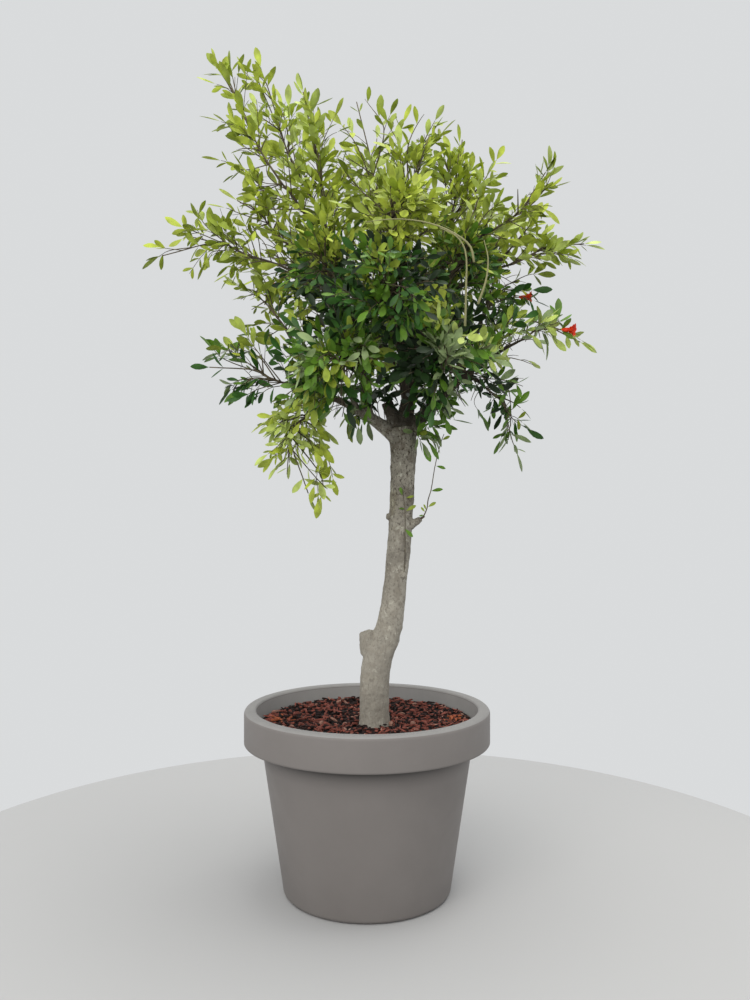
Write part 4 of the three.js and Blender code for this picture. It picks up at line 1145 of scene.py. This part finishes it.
def pot_material():
    """The outside of the planter, with painted shade under its rim."""
    look, base = mottled("pot_plastic", *LOOKS["pot_plastic"])
    under = (POT["height"] - POT["rim_drop"]) * MM
    stops = [(under - down * MM, share) for down, share in reversed(UNDER_RIM)]
    stops += [(under, UNDER_RIM[0][1]), (under + MM, 0.0)]
    # Painted shade: darker just below the rim, where the rim's own shadow falls.
    look.colour(look.mix(look.ramp(look.measure(), stops), base, RIM_SHADE))
    sheen = look.ramp(look.noise(*POT_SHEEN["grain"]), POT_SHEEN["values"])
    look.links.new(sheen, look.shader.inputs["Roughness"])
    return look.material


# --- trunk and boughs


def trunk_pile():
    """The trunk, its stubs and every bough as closed tubes that run into each other."""
    pile = Pile()
    steps = SKIN["trunk_steps"]
    path = [catmull(trunk_rows, i / steps) for i in range(steps + 1)]
    radii = [catmull(trunk_radii, i / steps).x for i in range(steps + 1)]

    def fluted(i, angle):
        twist = FLUTES["turns"] * TURN * i / steps
        return radii[i] * (1 + FLUTES["depth"] * math.cos(FLUTES["count"] * angle + twist))

    pile.tube(path, fluted, SKIN["trunk_sides"])
    shares = [i / SKIN["stub_steps"] for i in range(SKIN["stub_steps"] + 1)]
    for at, way, length, (foot, tip) in STUBS:
        start = Vector(at)
        end = start + Vector(way).normalized() * length
        widths = [foot + (tip - foot) * share ** SKIN["stub_taper"] for share in shares]
        pile.tube([start.lerp(end, share) for share in shares], widths, SKIN["stub_sides"])
    shares = [i / SKIN["bough_steps"] for i in range(SKIN["bough_steps"] + 1)]
    for bough in boughs.values():
        widths = [bough.thinned(share) for share in shares]
        pile.tube([bough.at(share) for share in shares], widths, SKIN["bough_sides"])
    return pile


def relief_at(point, form):
    place = Vector((point.x, point.y, point.z * form["stretch"])) * (1 / form["size"])
    basis = {"noise_basis": "PERLIN_ORIGINAL"}
    return noise.fractal(place, ROUGHNESS["gain"], ROUGHNESS["step"], form["octaves"], **basis)


def lift_at(point):
    """How far the bark stands out from the smooth skin."""
    ridges = RIDGES["lift"] * relief_at(point, RIDGES)
    grain = GRAIN["lift"] * relief_at(point, GRAIN)
    knots = KNOTS["lift"] * max(0.0, relief_at(point, KNOTS) - KNOTS["above"])
    fade = max(RELIEF_FADE["least"], (RELIEF_FADE["top"] - point.z) / RELIEF_FADE["over"])
    return (ridges + grain + knots) * min(1.0, fade)


def bark_piece():
    """Trunk and boughs as one skin, with the relief of the bark."""
    pile = trunk_pile()
    mesh = bpy.data.meshes.new("bark")
    mesh.from_pydata([p * MM for p in pile.points], [], pile.faces)
    raw = placed("bark_raw", mesh)
    remesh = raw.modifiers.new("skin", "REMESH")
    remesh.mode = "VOXEL"
    remesh.voxel_size = SKIN["voxel"] * MM
    smooth = raw.modifiers.new("smooth", "SMOOTH")
    smooth.factor = SKIN["smoothing"]
    smooth.iterations = SKIN["rounds"]
    graph = bpy.context.evaluated_depsgraph_get()
    skin = bpy.data.meshes.new_from_object(raw.evaluated_get(graph))
    bpy.data.objects.remove(raw)
    places = np.empty(len(skin.vertices) * 3)
    normals = np.empty(len(skin.vertices) * 3)
    skin.vertices.foreach_get("co", places)
    skin.vertices.foreach_get("normal", normals)
    places = places.reshape(-1, 3) / MM
    lift = np.array([lift_at(Vector(place)) for place in places])
    places += normals.reshape(-1, 3) * lift[:, None]
    places += np.array(TREE_FOOT)
    places[:, 2] = np.maximum(places[:, 2], TREE_FOOT.z)
    skin.vertices.foreach_set("co", (places * MM).ravel())
    skin.name = "bark"
    piece = finished("bark", skin, bark_material())
    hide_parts("trunk", *[f"bough_{m.name}" for m in masses])


# --- foliage


class Crown:
    """Everything that grows: twigs in one pile and leaves dealt out by colour."""

    def __init__(self):
        self.twigs = Pile()
        self.leaves = {colour: Leaves() for colour in PALETTE}

    def facing(self, foot, random):
        """Which way a leaf's upper side looks: outward, up and a little at random."""
        outward = Vector((foot.x, foot.y, max(0, foot.z - FACING["centre"]))).normalized()
        tilt = Vector([random() - 0.5 for _ in range(3)]) * FACING["loose"]
        return (outward * FACING["out"] + UP * FACING["up"] + tilt).normalized()

    def deal_at(self, kind, place, random):
        """One colour for a spray: lime where the crown is lit from above, its own kind lower down."""
        lit = (place.z - LIT["height"] + LIT["slope"] * abs(place.y)) / LIT["blend"]
        lit -= LIT["rise"] * max(0, 1 - abs(place.x) / LIT["half"]) / LIT["blend"]
        lit += around(random, LIT["loose"])
        patch = patch_at(place)
        crest = CREST["height"] - CREST["lean"] * max(0, place.x)
        if kind != "pale":
            if patch:
                kind = patch
            elif place.x > CREST["from"] and place.z > crest:
                kind = "crest"
            elif lit > LIT["lime_from"] or kind == "lime":
                kind = "lime"
            elif lit > LIT["mixed_from"]:
                kind = "middle"
        deal = DEALS[kind].split()
        return deal[int(random() * len(deal))]

    def leaf(self, m, foot, way, length, colour, random):
        face = self.facing(foot, random)
        shape = int(random() * len(LEAF_TEMPLATES))
        if m and not m.holds(foot + way * length, SLACK):
            return
        if in_opening(foot + way * length / 2, random):
            return
        self.leaves[colour].add(foot, way, face, length, shape)

    def dress(self, m, course, share, colour, random, scale=1.0, spacing=LEAF["spacing"]):
        """A leaf at the tip and pairs of them back down the outer `share` of a twig."""
        if m and m.leaf in SHADE_LEAF["kinds"]:
            scale *= SHADE_LEAF["size"]
            spacing *= SHADE_LEAF["size"]
        full = LEAF["length"] * scale
        size = full * above(random, *LEAF["tip_size"])
        self.leaf(m, course.at(1), course.way(1), size, colour, random)
        turn = random() * math.pi
        for n in range(int(course.length * share / spacing)):
            t = 1 - (n + LEAF["first"]) * spacing / course.length
            foot, way = course.at(t), course.way(t)
            size = full * above(random, *LEAF["size"])
            size *= min(1.0, LEAF["near_tip"] + LEAF["growth"] * n)
            for half in (0, math.pi):
                out = square_to(way, turn + half + around(random, LEAF["turn_loose"]))
                angle = LEAF["angle"] + around(random, LEAF["angle_loose"])
                lean = (way * math.cos(angle) + out * math.sin(angle)).normalized()
                self.leaf(m, foot, lean, size * above(random, *LEAF["own_size"]), colour, random)
            turn += math.pi / 2

    def twig(self, course, foot, tip, sides=4, taper=1):
        """A twig's wood, from its radius at the foot to that at the tip."""
        last = len(course.points) - 1
        radii = [foot + (tip - foot) * (i / last) ** taper for i in range(last + 1)]
        self.twigs.tube(course.points, radii, sides)

    def side_twigs(self, m, shoot, kind, random, open_to=1, longest=TWIG["longest"]):
        """The next finer twigs, by the same rule, off both sides of a shoot."""
        count = int(shoot.length * TWIG["share"] / TWIG["spacing"] / open_to)
        turn = random() * TURN
        for n in range(count):
            t = TWIG["first"] + TWIG["span"] * (n + random() * TWIG["loose"]) / max(1, count)
            start, way = shoot.at(t), shoot.way(t)
            turn += math.pi + around(random, TWIG["turn"])
            out = square_to(way, turn)
            aim = way * math.cos(TWIG["angle"]) + out * math.sin(TWIG["angle"])
            length = (1 - t * TWIG["taper"]) * shoot.length * above(random, *TWIG["length"])
            length = max(TWIG["shortest"], min(longest, length))
            while m and not m.holds(start + aim * length) and length > TWIG["shortest"]:
                length *= TWIG["shrink"]
            end = start + aim * length
            if m and not m.holds(end):
                continue
            course = bowed(start, end, length * TWIG["arch"], TWIG["steps"])
            self.twig(course, *TWIG["radii"], TWIG["sides"])
            self.dress(m, course, TWIG["dressed"], self.deal_at(kind, end, random), random, TWIG["leaf"])

    def clothe(self, m):
        """Leafy twigs along a bough, from where it leaves the open fork."""
        rule = BOUGH_TWIG
        random = seeded(m.seed + rule["seed"])
        course = curved(boughs[m.name].curve, rule["course"])
        bare = rule["bare_main"] if m.on_trunk else rule["bare"]
        turn = rule["turns"] * random()
        for n in range(int(course.length * (1 - bare) / rule["spacing"])):
            t = bare + (n + random()) * rule["spacing"] / course.length
            start, way = course.at(t), course.way(t)
            if start.z < rule["lowest"]:
                continue
            turn += SHOOT["turn"]
            aim = (way * rule["forward"] + square_to(way, turn) + UP * rule["up"]).normalized()
            length = rule["length"] * above(random, *rule["range"])
            twig = bowed(start, start + aim * length, length * TWIG["arch"], rule["steps"])
            self.twig(twig, *rule["radii"])
            colour = self.deal_at(m.leaf, start + aim * length, random)
            self.dress(None, twig, rule["dressed"], colour, random, rule["leaf"])
            self.side_twigs(None, twig, m.leaf, random, rule["open"], LEADER["twig"])

    def grow(self, m):
        """A mass's stem, its side shoots and their twigs."""
        random = seeded(m.seed)
        stem = stem_of(m)
        self.twig(stem, FINEST, STEM_TWIG["tip"], STEM_TWIG["sides"], STEM_TWIG["taper"])
        count = m.across / SHOOT["spacing"] * max(1, FINER["count"] * m.fullness)
        shoots = [shoot_of(m, k, stem, random) for k in range(1, int(count) + 1)]
        open_to = 1 + FINER["open"] * (1 - m.fullness)
        colour = self.deal_at(m.leaf, stem.at(1), random)
        self.dress(m, stem, STEM_TWIG["dressed"], colour, random)
        self.side_twigs(m, stem, m.leaf, random, open_to)
        for shoot in shoots:
            if m.holds(shoot.at(1)):
                self.twig(shoot, SHOOT_TWIG["foot"], SHOOT_TWIG["tip"])
                colour = self.deal_at(m.leaf, shoot.at(1), random)
                self.dress(m, shoot, SHOOT_TWIG["dressed"], colour, random)
                self.side_twigs(m, shoot, m.leaf, random, open_to)

    def leader(self, start, depth, row, kind, random):
        """A shoot that passes through places seen in the photograph."""
        stations = [start] + all_seen(row, depth)
        steps = LEADER["steps"] * (len(stations) - 1)
        whole = through(stations, steps)
        share = 1 - LEADER["tip_leaf"] * LEAF["length"] / whole.length
        course = Course([whole.at(share * i / steps) for i in range(steps + 1)])
        foot = min(LEADER["thick"], LEADER["thin"] + course.length / LEADER["thicker_by"])
        self.twig(course, foot, LEADER["tip"])
        colour = self.deal_at(kind, course.at(1), random)
        self.dress(None, course, LEADER["dressed"], colour, random, 1, LEADER["leaf_spacing"])
        self.side_twigs(None, course, kind, random, LEADER["open"], LEADER["twig"])


def flower(pile, foot, way):
    """One open flower: a waxy tube, its pointed lobes and a ring of crumpled petals."""
    sides = FLOWER["sides"]
    spin = [square_to(way, angle) * FLOWER["size"] for angle in angles(sides)]
    lobes = [FLOWER["lobes"] * TURN * k / sides for k in range(sides)]
    way = way * FLOWER["size"]
    base = len(pile.points)
    for along, radius, lobe in FLOWER_TUBE:
        for out, angle in zip(spin, lobes):
            point = math.cos(angle) * lobe
            pile.points.append(foot + way * (along + point) + out * radius)
    pile.bands(base, len(FLOWER_TUBE), sides)
    base = len(pile.points)
    for ring, (along, radius) in enumerate(FLOWER_PETALS):
        outer = ring / (len(FLOWER_PETALS) - 1)
        for k, out in enumerate(spin):
            place = Vector((k * FLOWER["grain"], ring * FLOWER["layer"], foot.x))
            crumple = noise.noise(place) * FLOWER["crumple"] * outer
            wave = 1 - FLOWER["frill"] * outer * (1 + math.cos(lobes[k] + FLOWER["frill_turn"]))
            pile.points.append(foot + way * (along + crumple) + out * radius * wave)
    pile.bands(base, len(FLOWER_PETALS), sides)


def in_air(px, py):
    """The place that the photograph shows at a pixel of the shoot from the stub."""
    return seen(px, py, SPROUT["depth"])


def on_bark(px, py):
    """The place just in front of the trunk that the photograph shows at a pixel."""
    near = seen(px, py, 0)
    middle = trunk_at(near.z)
    radius = catmull(trunk_radii, near.z / trunk_rows[-1].z).x
    aside = min(abs(near.x - middle.x), SPROUT["widest"] * radius)
    return seen(px, py, middle.y - math.sqrt(radius**2 - aside**2) - SPROUT["above_bark"])


def small_leaves(crown, rows, place_of, random):
    """Leaves that lie flat to the front, each from its foot to its tip."""
    for n, (foot_x, foot_y, tip_x, tip_y) in enumerate(rows):
        start = place_of(foot_x, foot_y)
        way = seen(tip_x, tip_y, start.y) - start
        face = Vector((around(random, 1), -1, above(random, *SPROUT["face_up"])))
        colour = "olive" if n % 2 else "green"
        crown.leaves[colour].add(start, way.normalized(), face, way.length, n % len(LEAF_TEMPLATES))


def sprout(crown):
    """Thin shoots with small leaves: one from a stub of the trunk, one up the front of the trunk."""
    at, way, length, _ = STUBS[SPROUT["stub"]]
    out = Vector(way).normalized()
    foot = Vector(at) + out * (length - SPROUT["sunk"])
    node = foot + out * (SPROUT["foot_length"] + SPROUT["sunk"])
    random = seeded(SPROUT["seed"])
    crown.twigs.tube([foot, node], SPROUT["foot_radii"], SPROUT["foot_sides"])
    stations = [node - out * SPROUT["overlap"]] + [in_air(*pixel) for pixel in pixels_of(SPROUT_LINE)]
    crown.twig(through(stations, SPROUT["steps"]), *SPROUT["radii"], SPROUT["sides"])
    small_leaves(crown, SPROUT_LEAVES, in_air, random)
    stations = [on_bark(*pixel) for pixel in pixels_of(CLIMBER_LINE)]
    crown.twig(through(stations, SPROUT["steps"]), *SPROUT["climber_radii"], SPROUT["sides"])
    small_leaves(crown, CLIMBER_LEAVES, on_bark, random)


def flowering(crown, blossom):
    """A flower at the end of a leafy stalk, on each mass that has one."""
    for name, place in FLOWERS:
        m = mass_named[name]
        start, end, steps = stem_of(m).at(FLOWER_STALK["foot"]), Vector(place), FLOWER_STALK["steps"]
        course = Course([start.lerp(end, i / steps) for i in range(steps + 1)])
        crown.twig(course, *FLOWER_STALK["radii"])
        random = seeded(m.seed + FLOWER_STALK["seed"])
        crown.dress(m, course, FLOWER_STALK["dressed"], "green", random, FLOWER_STALK["leaf"])
        flower(blossom, end - course.way(1) * FLOWER["middle"], course.way(1))


def foliage():
    crown = Crown()
    for m in masses:
        crown.grow(m)
        crown.clothe(m)
    random = seeded(LEADER["seed"])
    for name, kind, rows in LEADERS:
        m = mass_named[name]
        stem = stem_of(m)
        for depth, t, *row in rows:
            crown.leader(on_stem(m, stem, t), depth, row, kind or m.leaf, random)
    for name, kind, rows in SPRIGS:
        for t, depth, *row in rows:
            crown.leader(boughs[name].at(t), depth, row, kind or SPRIG_KIND, random)
    sprout(crown)
    blossom = Pile()
    flowering(crown, blossom)
    stood_for = [f"mass_{m.name}" for m in masses] + ["trunk_sprout"]
    for colour, leaves in crown.leaves.items():
        look, _ = mottled(f"leaf_{colour}", PALETTE[colour], *LEAF_LOOK)
        piece = leaves.piece(f"leaves_{colour}", look.material)
        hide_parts(*stood_for)
    pale = Pile()
    steps = PALE_STEM["steps"]
    radii = [PALE_STEM["foot"] - PALE_STEM["taper"] * i / steps for i in range(steps + 1)]
    for depth, *row in PALE_STEMS:
        pale.tube(through(all_seen(row, depth), steps).points, radii, PALE_STEM["sides"])
    stems = pale.piece("stems_pale", material_of("stem_pale"))
    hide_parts(*stood_for)
    twigs = crown.twigs.piece("twigs", material_of("twig_bark"))
    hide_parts(*stood_for)
    blossom.piece("flowers", material_of("petals"))


# --- planter


def spun(radius, sides, z):
    """A ring of points about the planter's axis."""
    return [Vector((radius * math.cos(angle), radius * math.sin(angle), z)) for angle in angles(sides)]


def pot_profile():
    """Half of the planter's section, from under the base, round and back inside to its floor."""
    under = POT["height"] - POT["rim_drop"]
    quarter = math.pi / 2

    def rounded(x, z, radius, start, end):
        turns = [start + (end - start) * i / ROUND_STEPS for i in range(ROUND_STEPS + 1)]
        return [(x + radius * math.cos(a), z + radius * math.sin(a)) for a in turns]

    low, below, top, inner = (POT[k] for k in ("base_round", "under_round", "rim_round", "inner_round"))
    rim = POT["rim_radius"]
    points = [(POT["base_radius"] - low, 0.0)]
    points += rounded(POT["base_radius"] - low, low, low, -quarter, -POT["taper"])
    points.append((POT["neck_radius"], under))
    points += rounded(rim - below, under + below, below, -quarter, 0)
    points += rounded(rim - top, POT["height"] - top, top, 0, quarter)
    points += rounded(rim - POT["lip"] + inner, POT["height"] - inner, inner, quarter, math.pi)
    points.append((POT["neck_radius"] - POT["wall"], under))
    points.append((POT["base_radius"] - POT["wall"], POT["wall"]))
    return points


def planter():
    pile = Pile()
    profile = pot_profile()
    for radius, z in profile:
        pile.points += spun(radius, POT_SIDES, z)
    pile.bands(0, len(profile), POT_SIDES)
    centre = len(pile.points)
    top = centre - POT_SIDES
    pile.points += [UNDERSIDE, UP * POT["wall"]]
    for k in range(POT_SIDES):
        n = (k + 1) % POT_SIDES
        pile.faces += [(centre, n, k), (top + k, top + n, centre + 1)]
    piece = pile.piece("planter", pot_material(), True, UNDERSIDE)
    # The rim's top and the inside wall are paler: partly bleached plastic, partly painted light where the
    # top catches light from above.
    piece.data.materials.append(material_of("pot_bleached_and_painted_light"))
    outer = POT["rim_radius"] - POT["rim_round"] / 2
    for face in piece.data.polygons:
        top = face.center.z > (POT["height"] - POT["rim_round"] / 2) * MM
        inside = math.hypot(face.center.x, face.center.y) < (outer - POT["lip"]) * MM
        under = face.center.z > (POT["height"] - POT["rim_drop"]) * MM
        if top or (inside and under):
            face.material_index = 1
    sharp = piece.modifiers.new("edges", "EDGE_SPLIT")
    sharp.split_angle = EDGE_ANGLE
    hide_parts("pot")


def inner_radius(z):
    """The planter's inner radius, within its rim."""
    under = POT["height"] - POT["rim_drop"]
    share = (z - under) / (POT["height"] - under)
    neck = POT["neck_radius"] - POT["wall"]
    return neck + share * (POT["rim_radius"] - POT["lip"] - neck)


# --- soil and chips


def mulch_height(x, y):
    """The uneven top of the layer of chips."""
    heaped = BED["heap"] * (math.hypot(x, y) / inner_radius(MULCH_TOP)) ** BED["heap_power"]
    place = Vector((x, y, LUMPS["seed"])) / LUMPS["size"]
    lumps = LUMPS["height"] * noise.fractal(place, LUMPS["gain"], LUMPS["step"], LUMPS["octaves"])
    return MULCH_TOP - BED["dip"] + heaped + lumps


def bed_pile(edge):
    """The layer's uneven top, in rings from its edge inward, and its side down to the soil."""
    bed = Pile()
    sides, rings = BED["sides"], BED["rings"]
    for ring in range(rings + 1):
        for point in spun(edge * (1 - ring / rings), sides, 0):
            point.z = mulch_height(point.x, point.y)
            bed.points.append(point)
    bed.bands(0, rings + 1, sides)
    foot = len(bed.points)
    low = SOIL_TOP + BED["above_soil"]
    bed.points += spun(inner_radius(low) - BED["inset"], sides, low)
    for k in range(sides):
        n = (k + 1) % sides
        bed.faces.append((k, foot + k, foot + n, n))
    return bed


def strew(piles, edge):
    """Bark chips lying on the bed in every direction."""
    random = seeded(CHIP["seed"])
    deal = [name for name, (_, _, share) in CHIPS.items() for _ in range(share)]
    for _ in range(CHIP["count"]):
        radius = (edge - CHIP["inset"]) * math.sqrt(random())
        angle = TURN * random()
        x, y = radius * math.cos(angle), radius * math.sin(angle)
        name = deal[int(random() * len(deal))]
        heap = min(math.hypot(x - tan_x, y - tan_y) for tan_x, tan_y in TAN_HEAPS)
        if heap < TAN_HEAP["radius"] and random() < TAN_HEAP["share"]:
            name = "chips_tan"
        if math.hypot(x - TREE_FOOT.x, y - TREE_FOOT.y) < CHIP["trunk_clear"]:
            continue
        length = CHIP["length"] + CHIP["longer"] * random() ** CHIP["skew"]
        size = (length, above(random, *CHIP["width"]), above(random, *CHIP["thick"]))
        tilt = [around(random, span) for span in CHIP["tilt"]]
        turn = Euler((*tilt, random() * CHIP["turn"])).to_matrix()
        centre = Vector((x, y, mulch_height(x, y) + above(random, *CHIP["lift"])))
        room = edge - length * 0.5 - CHIP["edge_gap"]
        if radius > room:
            centre.x *= room / radius
            centre.y *= room / radius
        shard(piles[name], centre, turn, size, random)
    for x, y in PALE_LUMPS:
        centre = Vector((x, y, mulch_height(x, y) + PALE_LUMP["lift"]))
        shard(piles["chips_pale"], centre, Matrix.Identity(3), PALE_LUMP["size"], random)


def shard(pile, centre, turn, size, random):
    """One bark chip: a six-sided splinter with a broken outline and a bevelled top."""
    base = len(pile.points)
    sides = SHARD["sides"]
    rim = []
    for k in range(sides):
        angle = TURN * (k + SHARD["loose"] * random()) / sides
        along = math.cos(angle) * above(random, *SHARD["long"])
        rim.append((along, math.sin(angle) * above(random, *SHARD["wide"])))
    for level, shrink in SHARD_LEVELS:
        for x, y in rim:
            local = Vector((x * shrink * size[0] / 2, y * shrink * size[1] / 2, level * size[2]))
            pile.points.append(centre + turn @ local)
    pile.closed(base, len(SHARD_LEVELS), sides)


def mulch():
    edge = inner_radius(MULCH_TOP) - BED["inset"]
    # The bed under the chips is near black: painted shade in the gaps between them.
    look = chip_material("mulch_dark", *BED_LOOK)
    base = bed_pile(edge).piece("mulch_bed", look, True, UNDERSIDE)
    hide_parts("mulch")
    piles = {name: Pile() for name in CHIPS}
    strew(piles, edge)
    for name, pile in piles.items():
        colour, vary, _ = CHIPS[name]
        piece = pile.piece(name, chip_material(name, colour, vary), False, UNDERSIDE)
        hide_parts("mulch")


def soil():
    """The soil's own solid shows through the chips."""
    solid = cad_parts["soil"]
    for material in solid.data.materials:
        material.name = "soil_cad"
    solid.material_slots[0].material = chip_material("soil", *SOIL_LOOK)


# --- stage, light and camera


def stage():
    mesh = bpy.data.meshes.new("floor")
    mesh.from_pydata(spun(FLOOR["radius"], FLOOR["sides"], 0), [], [tuple(range(FLOOR["sides"]))])
    floor = placed("floor", mesh)
    floor.location.z = -FLOOR["below"]
    mesh.materials.append(Shader("floor", FLOOR["colour"], *FLOOR_FINISH).material)


def studio():
    scene = bpy.context.scene
    scene.view_settings.view_transform = "Standard"
    world = bpy.data.worlds.new("studio")
    scene.world = world
    world.use_nodes = True
    sky = world.node_tree.nodes["Background"]
    sky.inputs["Color"].default_value = SKY["colour"]
    sky.inputs["Strength"].default_value = SKY["strength"]
    for name, place, aim, size, power, colour in LIGHTS:
        light = bpy.data.lights.new(name, "AREA")
        light.size = size
        light.energy = power
        light.color = colour
        lamp = placed(name, light)
        lamp.location = place
        lamp.rotation_mode = "QUATERNION"
        lamp.rotation_quaternion = (Vector(aim) - Vector(place)).to_track_quat("-Z", "Y")


def camera():
    """Level, at the distance and height that the picture was taken from."""
    data = bpy.data.cameras.new("camera")
    data.lens = SENSOR * FOCAL / (2 * MIDDLE[1])
    data.sensor_width = SENSOR
    cam = placed("camera", data)
    cam.location = [c * MM for c in CAMERA]
    cam.rotation_euler = (math.radians(90), 0, 0)
    bpy.context.scene.camera = cam


# --- the scene

soil()
camera()
stage()
studio()
planter()
mulch()
bark_piece()
foliage()
